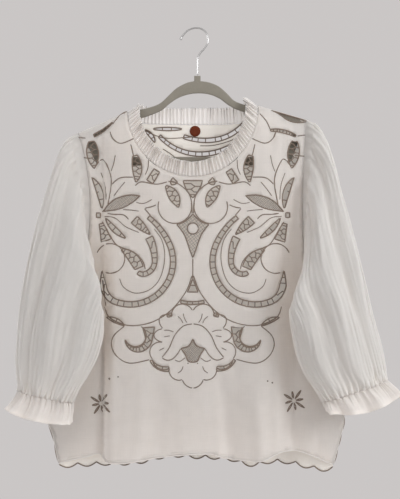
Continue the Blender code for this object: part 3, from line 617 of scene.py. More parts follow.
def panelCloth(name, outline, gaps, depth, turn, replaces):
    step = body["gridStep"]
    x, z = np.meshgrid(np.arange(-262, 262, step), np.arange(-752, -128, step))
    x = x + np.where((np.arange(x.shape[0]) % 2)[:, None] == 0, step / 2, 0)
    x, z = x.ravel(), z.ravel()
    border = [list(map(tuple, outline))] + [list(map(tuple, gap)) for gap in gaps]
    keep = insideOf(x, z, border[0])
    for line in border[1:]:
        keep &= ~insideOf(x, z, line)
    x, z = x[keep], z[keep]
    for line in border:
        near = distanceTo(x, z, line + line[:1]) < body["gridClear"]
        x, z = x[~near], z[~near]
    ridge = [(lerp(a[0], b[0], t), lerp(a[1], b[1], t) - drop) for a, b in shoulderLines
             for drop in (1.4, 3.0, 5.0) for t in np.linspace(0.03, 0.97, 24)]
    flat, faces = fillOutline(border[0], border[1:], list(zip(x, z)) + ridge)
    return addCloth(name, onPanel(flat, depth), faces[:, ::turn], body["wall"], "linen", flat, replaces)


def panelOutline(neck, *rest):  # neck, right shoulder and armhole, then the rest, and back up the left
    def shoulder(a, b):
        return evenly([body[a], body[b]], 24)[1:-1]
    return np.concatenate([neck, shoulder("neckRight", "shoulderRight"), armholeCurve(1, 60), *rest,
                           armholeCurve(-1, 60)[::-1][1:], shoulder("shoulderLeft", "neckLeft")])


def scalloped(line, outward):
    count = max(1, round(lengthOf(line) / body["scallopPitch"]))
    steps = 12
    even = evenly(line, count * steps)
    run = unit(np.gradient(even, axis=0))
    rise = outward * np.abs(np.sin(math.pi * np.arange(len(even)) / steps))
    return even + np.stack([-run[:, 1], run[:, 0]], axis=1) * rise[:, None]


frontEdge = {
    "neck": evenly(neckCurve(True), 130), "hem": smoothLine(frontHem, 7),
    "right": smoothLine(sideRight, 12), "left": smoothLine(sideLeft, 12)}
frontOutline = panelOutline(frontEdge["neck"], frontEdge["right"][1:], frontEdge["hem"][::-1][1:],
                            frontEdge["left"][::-1][1:])
allFrontGaps = frontGaps + [gap for gap, spacing in netGaps]
front = panelCloth("front_cloth", frontOutline, allFrontGaps, frontY, 1, ("front_panel",))
print("front cut and draped")

backEdge = {"neck": evenly(neckCurve(False), 110)}
for word, sign in (("right", 1), ("left", -1)):
    line = frontEdge[word]
    backEdge[word + "Upper"] = line[line[:, 1] >= body["slitTop"]]
    backEdge[word + "Lower"] = scalloped(line[line[:, 1] < body["slitTop"]], sign * body["sideScallop"])
backEdge["hem"] = scalloped(smoothLine(backHem, 8), -body["scallopDepth"])
backOutline = panelOutline(
    backEdge["neck"], backEdge["rightUpper"][1:], backEdge["rightLower"], backEdge["hem"][::-1],
    backEdge["leftLower"][::-1], backEdge["leftUpper"][::-1])
back = panelCloth("back_cloth", backOutline, backGaps, backY, -1, ("back_panel",))
back.data.materials[0] = looks["inside"]  # the same linen, with a warmer colour that is painted light coming through it
print("back cut and draped")


# Embroidery: satin stitched lines, bars and nets in taupe thread

stitch = {"rail": 2.5, "railThick": 1.8, "vein": 1.9, "line": 2.4, "bar": 1.8, "wide": 10.5,
          "step": 2.4, "net": 0.42, "discWidth": 1.1, "discThick": 1.8}
motifLines = [  # one side if not both, width, then u, z of each point
    ("line", 1, -419, 12, -447, 37, -478, 70, -498, 108, -503, 140, -490, 149, -471),
    ("left line", 153, -427, 150, -450, 146, -472),
    ("vein", 65, -341, 51, -362, 47, -392, 55, -424, 72, -443, 96, -449, 116, -439, 123, -424),
    ("line", 42, -262, 27, -265, 11, -277, 3, -292, 1, -317),
    ("vein", 96, -297, 82, -299, 67, -292),
    ("vein", 118, -309, 104, -310, 89, -312),
    ("vein", 130, -217, 133, -232, 138, -246),
    ("vein", 156, -245, 148, -268, 146, -293),
    ("vein", 113, -262, 124, -275, 133, -287),
    ("vein", 151, -320, 131, -323, 112, -338, 89, -348),
    ("line", 158, -226, 150, -225, 139, -248, 137, -268, 143, -301),
    ("line", 167, -238, 158, -226),
    ("line", 136, -267, 122, -256, 99, -255),
    ("line", 97, -270, 86, -263, 61, -267, 42, -263),
    ("line", 145, -315, 132, -317, 116, -318, 107, -326),
    ("line", 81, -307, 70, -305, 60, -301),
    ("line", 81, -307, 70, -320),
    ("line", 154, -328, 146, -340, 131, -365, 118, -373, 98, -381, 84, -395, 79, -410),
    ("line", 140, -176, 134, -190, 120, -198, 98, -190),
    ("line", 104, -199, 99, -220),
    ("vein", 74, -225, 75, -240, 80, -252),
    ("left line", 112, -141, 123, -147, 136, -165),
    ("right line", 112, -146, 123, -160, 130, -175),
    ("left line", 196, -186, 181, -187),
    ("left line", 193, -219, 174, -222),
    ("right line", 176, -184, 191, -182),
    ("right line", 172, -217, 190, -218),
    ("line", 114, -504, 132, -520, 136, -538, 126, -556, 105, -566, 72, -560),
    ("line", 52, -557, 40, -541, 30, -519, 16, -504, 0, -500),
    ("line", 52, -557, 43, -561, 34, -559, 26, -551, 20, -541),
    ("vein", 31, -560, 22, -563, 12, -556),
    ("vein", 16, -482, 14, -491, 9, -499),
    ("vein", 26, -487, 20, -492, 16, -500),
    ("vein", 49, -511, 40, -511, 31, -514),
    ("vein", 49, -522, 37, -520),
    ("vein", 47, -540, 57, -545),
    ("vein", 16, -570, 19, -578, 26, -583),
    ("right line", 0, -390, 0, -428)]
motifArcs = [  # sides, width, centre u, z, radius, from and to in degrees
    ("both", "line", 30, -304.5, 28, 165, 380), ("both", "line", 139, -391, 25, 20, 290),
    ("both", "line", 96, -520, 18, 118, 332), ("right", "line", 0, -341, 9.2, 0, 360)]
flowerLobes = [  # the flower's notches in turn, and how far the petal up to each stands out
    (0, -478, 0), (36, -486, 15), (50, -508, 14), (50, -531, 15), (67, -560, 13), (39, -574, 9),
    (17, -593, 9), (0, -607, 4)]
eyelets = [("left", 140, -593, 2.2), ("left", 125, -589, 1.7), ("right", 125, -596, 1.7),
           ("right", 133, -599, 2.0), ("both", 8, -566, 1.4)]
stars = [("right", 171, -632, 22, 8), ("left", 156, -637, 21, 8)]
starPetal = {"half": 1.2, "root": 3.5, "thread": 2.4, "thick": 2.6, "dots": 3.0}


def petalArc(a, b, bulge, count=12):  # a round petal edge between two notches
    a, b = np.array(a, float), np.array(b, float)
    t = np.linspace(0, 1, count + 1)[:, None]
    run = b - a
    normal = np.array([-run[1], run[0]]) / np.linalg.norm(run)
    return lerp(a, b, t) + normal * bulge * (4 * t * (1 - t)) ** 0.7


def resampled(flat, closed=False):
    if closed:
        flat = np.concatenate([flat, flat[:1]])
    even = evenly(flat, max(2, round(lengthOf(flat) / stitch["step"])))
    return even[:-1] if closed else even


def addRails(cords, gaps, depth):
    for gap in gaps:
        cords.add(onPanel(resampled(gap, True), depth), stitch["rail"], stitch["railThick"], closed=True)


def addBars(cords, cuts, depth, seed):  # bars across a narrow gap, a mesh of cells in a wide one
    chance = random.Random(seed)
    for sides, path, bars in cuts:
        walked = walkedAlong(path[:, :2])
        rails = railsOf(path)
        for side in eachSide(sides):
            threads, last = [], None
            for k in range(1, bars):
                spot = walked[-1] * (k + chance.uniform(-0.14, 0.14)) / bars
                ends = np.array([[np.interp(spot, walked, rail[:, j]) for j in range(2)] for rail in rails])
                if np.linalg.norm(ends[1] - ends[0]) < stitch["wide"]:
                    threads.append(ends)
                    last = None
                    continue
                share = chance.uniform(0.1, 0.2) * (1 if k % 2 else -1)
                knot = lerp(ends[0], ends[1], 0.5 + share)
                threads.append([knot, ends[1 if share > 0 else 0]])
                if last is not None:
                    threads.append([last, knot])
                last = knot
            for ends in threads:
                line = onPanel(evenly(placed(ends, side), 4), depth)
                cords.add(line, stitch["bar"], stitch["bar"], pinch=False)


def clipLine(start, run, outline):  # where an endless line lies inside an outline
    found = []
    for a, b in zip(outline, np.roll(outline, -1, 0)):
        edge = b - a
        down = run[0] * edge[1] - run[1] * edge[0]
        if abs(down) < 1e-9:
            continue
        t = ((a[0] - start[0]) * edge[1] - (a[1] - start[1]) * edge[0]) / down
        s = ((a[0] - start[0]) * run[1] - (a[1] - start[1]) * run[0]) / down
        if 0 <= s < 1:
            found.append(t)
    found.sort()
    return [(start + run * found[k], start + run * found[k + 1]) for k in range(0, len(found) - 1, 2)]


def addNet(cords, outline, spacing, depth, seed):
    chance = random.Random(seed)
    middle = outline.mean(0)
    reach = np.linalg.norm(outline - middle, axis=1).max()
    lines = int(reach / spacing) + 1
    for angle in (38, 128):
        run = np.array([math.cos(math.radians(angle)), math.sin(math.radians(angle))])
        side = np.array([-run[1], run[0]])
        for k in range(-lines, lines + 1):
            start = middle + side * spacing * (k + chance.uniform(-0.12, 0.12))
            for a, b in clipLine(start, run, outline):
                count = max(2, round(np.linalg.norm(b - a) / 5))
                cords.add(onPanel(evenly([a, b], count), depth), stitch["net"], stitch["net"], pinch=False)


def addDisc(cords, u, z, radius, side, depth):  # a satin stitched dot
    centre = placed([(u, z)], side)[0]
    for k in range(3):
        angle = math.pi * k / 3
        off = np.array([math.cos(angle), math.sin(angle)]) * radius
        cords.add(onPanel(evenly([centre - off, centre + off], 4), depth), radius * stitch["discWidth"],
                  stitch["discThick"])


frontThread = Cords(6)
addRails(frontThread, allFrontGaps, frontY)
addBars(frontThread, frontCuts, frontY, 21)


def stitched(flat, sides, kind):  # a satin line on the front, on each side that has it
    for side in eachSide(sides):
        frontThread.add(onPanel(resampled(placed(flat, side)), frontY), stitch[kind], stitch["railThick"])


for words, *points in motifLines:
    stitched(smoothLine(np.reshape(points, (-1, 2)), 8), *("both " + words).split()[-2:])
for sides, kind, u, z, radius, start, end in motifArcs:
    angle = np.radians(np.linspace(start, end, 40))
    stitched(np.stack([u + radius * np.cos(angle), z + radius * np.sin(angle)], axis=1), sides, kind)
for a, b in zip(flowerLobes, flowerLobes[1:]):
    stitched(petalArc(a[:2], b[:2], b[2]), "both", "line")
for sides, u, z, radius in eyelets:
    for side in eachSide(sides):
        addDisc(frontThread, u, z, radius, side, frontY)
for sides, u, z, reach, petals in stars:
    for side in eachSide(sides):
        centre = placed([(u, z)], side)[0]
        for k in range(petals):
            angle = 2 * math.pi * (k + 0.25) / petals
            run = np.array([math.cos(angle), math.sin(angle)])
            tip = reach * (1.0 if k % 2 else 0.74)
            off = np.array([-run[1], run[0]]) * starPetal["half"]
            root, middle = centre + run * starPetal["root"], centre + run * (starPetal["root"] + tip) * 0.5
            for bulge in (-1, 1):
                edge = smoothLine([root, middle + off * bulge, centre + run * tip], 5)
                frontThread.add(onPanel(edge, frontY), starPetal["thread"], starPetal["thick"])
            dot = centre + np.array([math.cos(angle + 0.4), math.sin(angle + 0.4)]) * starPetal["dots"]
            frontThread.add(onPanel(evenly([dot, dot + run * 0.8], 2), frontY), 1.2, 2.4)
frontStitching = frontThread.finish("front_embroidery", "thread")

netThread = Cords(4)
for k, (outline, spacing) in enumerate(netGaps):
    addNet(netThread, outline, spacing, frontY, 40 + k)
frontNets = netThread.finish("front_nets", "thread")

angle = np.linspace(0, 2 * math.pi, 33)[:-1]
discEdge = np.stack([body["centre"] + disc["radius"] * np.cos(angle),
                     disc["z"] + disc["radius"] * np.sin(angle)], axis=1)
discMiddle = [(body["centre"] + dx, disc["z"] + dz) for dx in (-4, 0, 4) for dz in (-4, 0, 4)]
flat, faces = fillOutline(discEdge, [], discMiddle)
centreDisc = addCloth("net_disc", onPanel(flat, frontY), faces, body["wall"], "linen", flat)
print("front embroidered")

backThread = Cords(6)
addRails(backThread, backGaps, backY)
addBars(backThread, backCuts, backY, 22)
for points in ([(84, -170), (68, -178), (52, -183), (34, -184), (-6, -181)],
               [(53, -202), (40, -210), (30, -218)], [(-11, -197), (-36, -196), (-65, -188), (-86, -176)]):
    line = placed(smoothLine(points, 8), -1)
    backThread.add(onPanel(resampled(line), backY), stitch["vein"], stitch["railThick"])
for word in ("rightLower", "leftLower", "hem"):
    backThread.add(onPanel(resampled(backEdge[word]), backY), stitch["rail"], stitch["railThick"])
backStitching = backThread.finish("back_embroidery", "thread")
print("back embroidered")


# Hem, seams and topstitching

sewing = {"hemRoll": 2.6, "seam": 1.3, "dash": 1.9, "gap": 1.1, "thick": 0.5}


def dashes(cords, line, depth, lift):
    pitch = sewing["dash"] + sewing["gap"]
    spots = evenly(line, max(2, round(lengthOf(line) / pitch)))
    for a, b in zip(spots, spots[1:]):
        end = lerp(a, b, sewing["dash"] / pitch)
        path = onPanel([a, end], depth)
        path[:, 1] += lift
        cords.add(path, sewing["thick"], sewing["thick"], pinch=False)


hemRoll = Cords(8)
hemRoll.add(onPanel(resampled(frontEdge["hem"]), frontY), sewing["hemRoll"], 2.0)
for word in ("left", "right"):
    line = frontEdge[word]
    hemRoll.add(onPanel(resampled(line[line[:, 1] < body["slitTop"]]), frontY), 2.0, 1.7)
frontHemRoll = hemRoll.finish("front_hem_roll", "linen")

seams = Cords(6)
for side in (-1, 1):
    line = armholeCurve(side, 60, -1.2)[2:-2]
    for depth in (frontY, backY):
        seams.add(onPanel(line, depth), sewing["seam"], 1.6)
topstitch = Cords(4)
for line in (neckCurve(True, -7.5)[8:-8], frontEdge["hem"] + [0, 6]):
    dashes(topstitch, line, frontY, -body["wall"] / 2 - 0.1)
seamRidges = seams.finish("seam_ridges", "linen")
topStitching = topstitch.finish("topstitching", "frill")
print("hems and seams sewn")


# Sleeves: the part's sections, run smoothly, with gathers, folds and gauze crinkles

sleeve = {
    "around": 300, "steps": 9, "wall": 0.8, "round": 0.85, "lapPeak": 0.65,
    "crinkle": 1.0, "crinkles": 84, "headGather": 2.4, "headWaves": 34, "headRun": 0.16,
    "wristGather": 3.4, "wristWaves": 38, "wristRun": 0.11}
sleeveDepths = [  # from head to wrist: outer y, inner y, half depth, tuck
    (0, -2, 20, 0), (-4, -9, 27, 4), (-10, -20, 31, 8), (-18, -34, 33, 16), (-25, -44, 34, 31),
    (-30, -53, 34, 41), (-36, -58, 34, 28), (-42, -60, 34, 4), (-46, -60, 33, 0), (-48, -58, 31, 0),
    (-50, -56, 28, 0), (-51, -55, 25, 0), (-52, -54, 22, 0)]
sleeveLines = {  # outer x, z, inner x, z, bow, lap
    -1: [(-214, -184, -202, -424, 12, 6), (-226, -196, -204, -438, 6, 24), (-237, -220, -200, -452, 2, 36),
         (-246, -255, -194, -460, 0, 38), (-257, -295, -182, -467, 0, 38), (-268, -335, -166, -474, 0, 26),
         (-280, -388, -155, -483, 0, 12), (-290, -448, -153, -499, 0, 4), (-297, -505, -155, -524, 0, 0),
         (-299, -555, -164, -552, 0, 0), (-297, -586, -180, -582, 0, 0), (-295, -598, -194, -604, 0, 0),
         (-294, -607, -205, -627, 0, 0)],
    1: [(198, -161, 188, -424, 4, 4), (210, -174, 190, -438, 2, 14), (222, -198, 187, -452, 0, 18),
        (232, -235, 181, -460, 0, 20), (242, -280, 169, -467, 0, 18), (254, -325, 158, -474, 0, 16),
        (267, -375, 153, -484, 0, 12), (280, -432, 154, -500, 0, 4), (292, -488, 158, -522, 0, 0),
        (304, -535, 165, -552, 0, 0), (311, -567, 179, -584, 0, 0), (312, -579, 195, -606, 0, 0),
        (312, -590, 208, -626, 0, 0)]}
# Main folds: angle at the head and at its lower end (90 is the front), from, to along, half width, height
sleeveFolds = [
    (38, 30, 0.02, 0.60, 9, 4.2), (58, 56, 0.02, 0.68, 8, -5.0), (76, 84, 0.02, 0.85, 9, 4.6),
    (95, 108, 0.03, 0.75, 8, -4.2), (50, 48, 0.50, 1.0, 9, -4.2), (78, 74, 0.55, 1.0, 8, 3.8),
    (104, 98, 0.45, 1.0, 9, -3.8), (130, 122, 0.60, 1.0, 9, 3.2), (150, 150, 0.3, 0.85, 10, -2.4),
    (20, 20, 0.4, 0.95, 9, -3.0), (230, 240, 0.05, 0.7, 10, 2.8), (265, 262, 0.05, 0.8, 9, -3.2),
    (300, 292, 0.04, 0.7, 9, 2.4), (325, 330, 0.3, 1.0, 9, -2.2), (245, 250, 0.5, 1.0, 9, -2.0),
    (210, 205, 0.4, 0.9, 10, 1.8)]


def sectionRings(lines, depths, side, count):
    angle = 2 * math.pi * np.arange(count) / count
    t = (1 - np.cos(angle)) / 2
    fuller = np.sign(np.sin(angle)) * np.abs(np.sin(angle)) ** sleeve["round"]
    outerX, outerZ, innerX, innerZ, bow, lap = (lines[:, k:k + 1] for k in range(6))
    outerY, innerY, half, tuck = (depths[:, k:k + 1] for k in range(4))
    over = np.where(np.sin(angle) > 0, lap, tuck) * np.sin(angle) * t / sleeve["lapPeak"]
    x = lerp(outerX, innerX, t) - side * (bow * np.sin(angle) ** 2 + over)
    y = lerp(outerY, innerY, t) - half * fuller
    z = lerp(outerZ, innerZ, t)
    return np.stack([x, y, z], axis=-1)


def ringNoise(turn, share, around, along, seed):
    return np.array([[noise.noise((math.cos(a) * around, math.sin(a) * around, s * along + seed))
                      for a in turn] for s in share])


def raised(rings, lift):  # points pushed out along their normals, and the faces turned outward
    points = rings.reshape(-1, 3)
    faces = gridFaces(len(rings), rings.shape[1], True)
    normals = pointNormals(points, faces)
    if (normals * (rings - rings.mean(1, keepdims=True)).reshape(-1, 3)).sum() < 0:
        faces, normals = faces[:, ::-1], -normals
    return points + normals * lift.reshape(-1, 1), faces


def layOf(ring, down):
    return np.stack(np.broadcast_arrays(walkedAlong(ring), down[:, None]), axis=-1).reshape(-1, 2)


def armholeRing(side, count):
    half = count // 2
    line = armholeCurve(side, half, body["butt"])
    offX = line[:, 0] - side * body["butt"]
    frontHalf, backHalf = (np.stack([line[:, 0], depth(offX, line[:, 1]), line[:, 1]], axis=1)
                           for depth in (frontY, backY))
    frontHalf[[0, -1], 1] = 0
    frontHalf[0, 2] += body["butt"]
    frontHalf[-1, 2] -= body["butt"]
    return np.concatenate([frontHalf, backHalf[1:-1][::-1]])


def sleeveCloth(name, side, node):
    count = sleeve["around"]
    lines, depths = (smoothLine(rows, sleeve["steps"]) for rows in (sleeveLines[side], sleeveDepths))
    rings = np.concatenate([[armholeRing(side, count)], sectionRings(lines, depths, side, count)])
    share = np.linspace(0, 1, len(rings))[:, None]
    angle = (360 * np.arange(count) / count)[None, :]
    lift = np.zeros(rings.shape[:2])
    for start, end, low, high, half, rise in sleeveFolds:
        middle = lerp(start, end, smoothStep((share - low) / (high - low)))
        off = (angle - middle + 180) % 360 - 180
        window = smoothStep((share - low) / 0.08 + 0.3) * smoothStep((high - share) / 0.12 + 0.2)
        lift += rise * np.exp(-(off / half) ** 2) * window
    turn = np.radians(angle)
    wobble = ringNoise(turn[0], share[:, 0], 2.2, 3.0, side * 9)
    crinkle = ringNoise(turn[0], share[:, 0], sleeve["crinkles"] / 6.3, 6.0, side * 31)
    lift += sleeve["crinkle"] * crinkle * 2.2 + 1.2 * wobble
    head = np.clip(1 - share / sleeve["headRun"], 0, 1) ** 1.2
    upper = smoothStep((1.25 - share / sleeve["headRun"] * 0.2) * (np.abs(np.cos(turn / 2)) - 0.25) * 2)
    lift += sleeve["headGather"] * head * upper * np.sin(sleeve["headWaves"] * turn + 2.5 * wobble)
    wrist = np.clip(1 - (1 - share) / sleeve["wristRun"], 0, 1)
    shirring = np.sin(sleeve["wristWaves"] * turn + 5 * wobble + 3 * crinkle)
    lift += sleeve["wristGather"] * wrist * shirring * 0.8
    lift *= smoothStep(share / 0.03)
    points, faces = raised(rings, lift)
    lay = layOf(rings[60], walkedAlong(rings[:, 0]))
    return addCloth(name, points, faces, sleeve["wall"], "gauze", lay, (f"{node}_front", f"{node}_back"))


leftSleeve = sleeveCloth("sleeve_left_gauze", -1, "sleeve_left")
rightSleeve = sleeveCloth("sleeve_right_gauze", 1, "sleeve_right")
print("sleeves set in")


# Cuff frills below the elastic

cuff = {"around": 300, "steps": 5, "wall": 0.8, "hem": 5.0, "hemLift": 0.6, "fine": 2.2, "fineWaves": 33}
cuffDepths = [(-52, -54, 22, 0), (-52, -54, 23, 0), (-52, -54, 26, 0), (-52, -54, 29, 0)]  # as sleeveDepths
cuffLines = {  # outer x, z, inner x, z, bow, lap, droop
    -1: [(-294, -608.2, -205, -628.2, 0, 0, 0), (-299, -619, -205, -641, 0, 0, 1),
         (-306, -630, -207, -652, 0, 0, 2), (-313, -640, -209, -662, 0, 0, 4)],
    1: [(312, -591.2, 208, -627.2, 0, 0, 0), (320, -598, 210, -634, 0, 0, 2),
        (329, -606, 213, -639, 0, 0, 6), (336, -614, 216, -643, 0, 0, 12)]}
cuffWaves = {  # angles of the frill's ridges and how far they stand out; 90 is the front
    -1: [(12, 4), (46, 9), (60, -8), (92, 7), (112, -6), (136, 6), (160, 4), (200, 5), (240, -6),
         (275, 7), (312, -5)],
    1: [(20, 6), (44, -6), (66, 8), (88, -7), (110, 8), (130, -6), (152, 6), (205, 6), (238, -6),
        (270, 7), (305, -6)]}


def cuffCloth(name, side, node):
    count = cuff["around"]
    lines, depths = (smoothLine(rows, cuff["steps"]) for rows in (cuffLines[side], cuffDepths))
    rings = sectionRings(lines, depths, side, count)
    angle = 360 * np.arange(count) / count
    turn = np.radians(angle)
    rings[..., 2] -= lines[:, 6:] * np.sin(turn) ** 2
    share = np.linspace(0, 1, len(rings))[:, None]
    lift = np.zeros(rings.shape[:2])
    for middle, rise in cuffWaves[side]:
        off = (angle - middle + 180) % 360 - 180
        lift += rise * np.exp(-(off / 10) ** 2) * share ** 0.8
    pleat = ringNoise(turn, [0], 9, 0, side * 5)
    lift += (1 - share) ** 1.3 * cuff["fine"] * np.sin(cuff["fineWaves"] * turn + 5 * pleat)
    lift += 0.9 * pleat * (1 - 0.5 * share)
    drop = np.linalg.norm(rings[-1] - rings, axis=-1)
    lift += np.where(drop < cuff["hem"], cuff["hemLift"], 0)
    points, faces = raised(rings, lift)
    lay = layOf(rings[-1], np.linspace(0, 34, len(rings)))
    wall = np.where(drop < cuff["hem"], cuff["wall"] * 1.8, cuff["wall"]).reshape(-1)
    return addCloth(name, points, faces, wall, "linen", lay, (node,))


leftCuff = cuffCloth("cuff_left_linen", -1, "cuff_frill_left")
rightCuff = cuffCloth("cuff_right_linen", 1, "cuff_frill_right")
print("cuffs gathered")


# Neck frill: uneven pleats that stand up from the neck seam

neckFrill = {"seat": 0.8, "lift": 0.6, "lean": -0.12, "rows": 10, "perPleat": 8, "wall": 0.7, "sway": 1.6,
             "foot": 1.0, "edge": 2.9}


def frillCloth(name, isFront, pleats, height, node, seed):
    columns = pleats * neckFrill["perPleat"]
    base = evenly(neckCurve(isFront, neckFrill["seat"]), columns)
    seam = evenly(neckCurve(isFront), columns)
    depth = frontY if isFront else backY
    foot = np.stack([base[:, 0], depth(seam[:, 0], seam[:, 1]), base[:, 1]], axis=1)
    forward = neckFrill["lean"] if isFront else -neckFrill["lean"]
    along = np.insert(unit(np.gradient(base, axis=0)), 1, 0, axis=1)
    rise = unit(np.stack([-along[:, 2], np.full(len(along), forward),
                          along[:, 0] + neckFrill["lift"]], axis=1))
    side = unit(np.cross(along, rise))
    chance = random.Random(seed)
    widths = np.array([chance.uniform(0.65, 1.35) for k in range(pleats)])
    knots = np.concatenate([[0], np.cumsum(widths)]) / widths.sum()
    spots = np.linspace(0, 1, columns + 1)
    phase = np.interp(spots, knots, np.arange(pleats + 1)) * 2 * math.pi
    tall = np.interp(spots, knots, [chance.uniform(0.6, 1.15) for k in knots])
    drift = np.interp(spots, knots, [chance.uniform(-1, 1) for k in knots])
    share = np.linspace(0, 1, neckFrill["rows"])[:, None]
    size = lerp(neckFrill["foot"], neckFrill["edge"], share ** 0.7)
    wave = np.sin(phase + 0.8 * drift * share) * size * tall
    sway = (neckFrill["sway"] * drift * share + 0.9 * np.cos(phase) * share * tall)
    top = height * (1 + 0.035 * drift)
    grid = (foot[None] + rise[None] * (share * top)[..., None] + side[None] * wave[..., None]
            + along[None] * sway[..., None])
    points = grid.reshape(-1, 3)
    faces = gridFaces(neckFrill["rows"], columns + 1)
    across = np.broadcast_to(np.linspace(0, lengthOf(base) * 1.8, columns + 1), grid.shape[:2])
    lay = np.stack([across, np.broadcast_to(share * height, grid.shape[:2])], axis=-1).reshape(-1, 2)
    return addCloth(name, points, faces, neckFrill["wall"], "frill", lay, (node,))


frontFrill = frillCloth("neck_frill_front_cloth", True, 64, 25.0, "neck_frill_front", 5)
backFrill = frillCloth("neck_frill_back_cloth", False, 40, 29.0, "neck_frill_back", 6)
print("neck frilled")


# Round tag, hanger and hook

tag = {"radius": 9.4, "wall": 1.6, "x": -3.5, "z": -172.0, "gap": 0.5, "sides": 48, "bevel": 0.45}


def tagDisc():
    y = float(backY(tag["x"], tag["z"])) - body["wall"] / 2 - tag["gap"] - tag["wall"] / 2
    half, flat = tag["wall"] / 2, 1 - tag["bevel"] / tag["radius"]
    profile = [(0.001, -half), (0.5, -half), (flat, -half), (1, tag["bevel"] - half),
               (1, half - tag["bevel"]), (flat, half), (0.001, half)]
    points = [(tag["x"] + tag["radius"] * share * math.cos(a), y + off,
               tag["z"] + tag["radius"] * share * math.sin(a))
              for share, off in profile for a in 2 * math.pi * np.arange(tag["sides"]) / tag["sides"]]
    faces = gridFaces(len(profile), tag["sides"], True).tolist()
    return addPiece("neck_tag_disc", points, faces, "tag", replaces=("neck_tag",))


tagPiece = tagDisc()

hanger = {
    "half": 2.75, "drop": 1.8,
    "shoulderLeft": (-188, -150), "shoulderRight": (140, 171),
    "top": [(-99, -138), (-78, -133), (-62, -126), (-48, -113), (-35, -101), (-18, -92), (-5, -89)],
    "tab": [(-5, -80), (6, -80)],
    "topRight": [(6, -89), (20, -91), (37, -98), (52, -111), (63, -122), (80, -129)],
    "endRight": [(176, -156), (178, -168), (174, -186), (167, -208), (158, -228), (148, -233)],
    "endLeft": [(-162, -233), (-172, -228), (-181, -210), (-189, -194), (-193, -182)],
    "hole": [(-97, -153), (-78, -147), (-60, -139), (-47, -128), (-32, -118), (-15, -112), (3, -110),
             (21, -112), (38, -119), (53, -130), (68, -138), (84, -143), (104, -147), (146, -160),
             (159, -169), (160, -184), (153, -206), (142, -218), (-156, -218), (-168, -206),
             (-175, -192), (-170, -182), (-118, -159)]}


def insetLoop(loop, inset):
    run = unit(np.roll(loop, -1, 0) - np.roll(loop, 1, 0))
    return loop + np.stack([-run[:, 1], run[:, 0]], axis=1) * inset


def seamZ(x):
    (ax, az), (bx, bz) = shoulderLines[0] if x < body["centre"] else shoulderLines[1]
    return az + (bz - az) * (x - ax) / (bx - ax)


def hangerPlate():
    left = [(x, seamZ(x) - hanger["drop"]) for x in (*hanger["shoulderLeft"], body["neckLeft"][0])]
    right = [(x, seamZ(x) - hanger["drop"]) for x in (body["neckRight"][0], *hanger["shoulderRight"])]
    upper = np.concatenate([smoothLine(left + hanger["top"], 4), hanger["tab"],
                            smoothLine(hanger["topRight"] + right, 4), smoothLine(hanger["endRight"], 4),
                            smoothLine(hanger["endLeft"], 4)])
    outline = upper[::-1]
    hole = hanger["hole"]
    hole = np.concatenate([smoothLine(hole[-3:] + hole[:18], 4)[8:], smoothLine(hole[18:21], 4)])[::-1]
    points, faces = [], []
    edge, total = len(outline), len(outline) + len(hole)
    angles = np.radians(np.linspace(-90, 90, 9))
    for a in angles:
        inset = hanger["half"] * 0.8 * (1 - math.cos(a))
        for x, z in np.concatenate([insetLoop(outline, inset), insetLoop(hole, -inset)]):
            points.append((x, hanger["half"] * math.sin(a), z))
    last = (len(angles) - 1) * total
    for low in range(0, last, total):
        for first, size, turn in ((0, edge, -1), (edge, len(hole), 1)):
            for i in range(size):
                a, b = low + first + i, low + first + (i + 1) % size
                faces.append([a, b, b + total, a + total][::turn])
    flat = [Vector((p[0], p[2])) for p in points[:total]]
    made = delaunay_2d_cdt(flat, [], [list(range(edge)), list(range(edge, total))], 1, 1e-5)
    for face, owner in zip(made[2], made[5]):
        if owner == [0]:
            faces.append(list(face))
            faces.append([i + last for i in reversed(face)])
    return addPiece("hanger_flocked", points, faces, "flock", replaces=("hanger",))


hangerPlate()

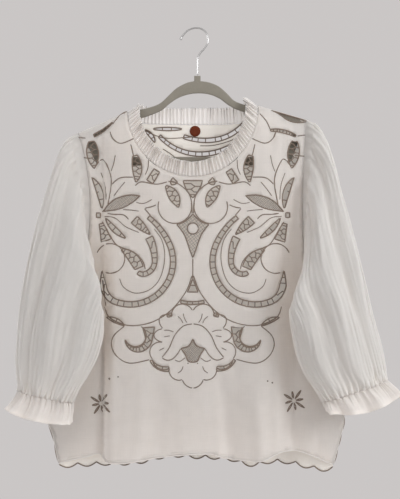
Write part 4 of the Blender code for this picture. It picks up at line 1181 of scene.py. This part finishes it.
hook = {
    "radius": 1.5, "sides": 16, "steps": 8,
    "route": [(0.5, -79.6, 1), (0.5, -60, 1), (1, -50, 1), (5, -42, 1), (12, -34, 1), (17, -26, 1),
              (18.6, -17, 1), (16, -7.5, 1), (9, -0.8, 1), (0, 1.5, 1), (-10, 0, 1), (-18, -4.5, 1),
              (-24, -11, 1), (-26.3, -14.5, 1.15), (-27.3, -16.6, 1.5), (-28.3, -18.8, 1.1)]}
route = smoothLine(hook["route"], hook["steps"])
wire = Cords(hook["sides"])
path = np.stack([route[:, 0], np.zeros(len(route)), route[:, 1]], axis=1)
wire.add(path, 2 * hook["radius"] * route[:, 2], 2 * hook["radius"])
hookPiece = wire.finish("hook_wire", "chrome")
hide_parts("hanger_hook")
print("tag, hanger and hook made")


# Floor, light and camera

stageSet = {"floorDrop": -1100.0, "floorHalf": 800.0, "camera": (5.0, -1630.0, -376.0), "lens": 69.0,
            "world": (0.59, 0.566, 0.56), "worldStrength": 1.0}
half, drop = stageSet["floorHalf"] * mm, stageSet["floorDrop"] * mm
floorMesh = bpy.data.meshes.new("floor")
floorMesh.from_pydata([(x * half, y * half, drop) for x, y in ((-1, -1), (1, -1), (1, 1), (-1, 1))], [],
                      [[0, 1, 2, 3]])
floor = bpy.data.objects.new("floor", floorMesh)
bpy.context.scene.collection.objects.link(floor)
floorMesh.materials.append(newLook("floor", {"Base Color": (0.66, 0.64, 0.63, 1), "Roughness": 0.9})[0])

world = bpy.data.worlds.new("studio")
world.use_nodes = True
world.node_tree.nodes["Background"].inputs["Color"].default_value = (*stageSet["world"], 1)
world.node_tree.nodes["Background"].inputs["Strength"].default_value = stageSet["worldStrength"]
bpy.context.scene.world = world
bpy.context.scene.view_settings.view_transform = "Standard"

for name, place, size, power in (("key", (2.0, -1.6, 0.4), 1.0, 29.0), ("fill", (-0.9, -1.9, 0.3), 1.4, 8.0),
                                ("behind", (-2.0, 1.5, 0.4), 1.2, 14.0)):
    lamp = bpy.data.lights.new(name, "AREA")
    lamp.energy = power
    lamp.size = size
    light = bpy.data.objects.new(name, lamp)
    light.location = place
    light.rotation_euler = (Vector((0, 0, -0.4)) - Vector(place)).to_track_quat("-Z", "Y").to_euler()
    bpy.context.scene.collection.objects.link(light)

lensPiece = bpy.data.cameras.new("camera")
lensPiece.sensor_fit = "VERTICAL"
lensPiece.sensor_height = 36.0
lensPiece.lens = stageSet["lens"]
camera = bpy.data.objects.new("camera", lensPiece)
camera.location = Vector(stageSet["camera"]) * mm
camera.rotation_euler = (math.radians(90), 0, 0)
bpy.context.scene.collection.objects.link(camera)
bpy.context.scene.camera = camera
print("stage set")
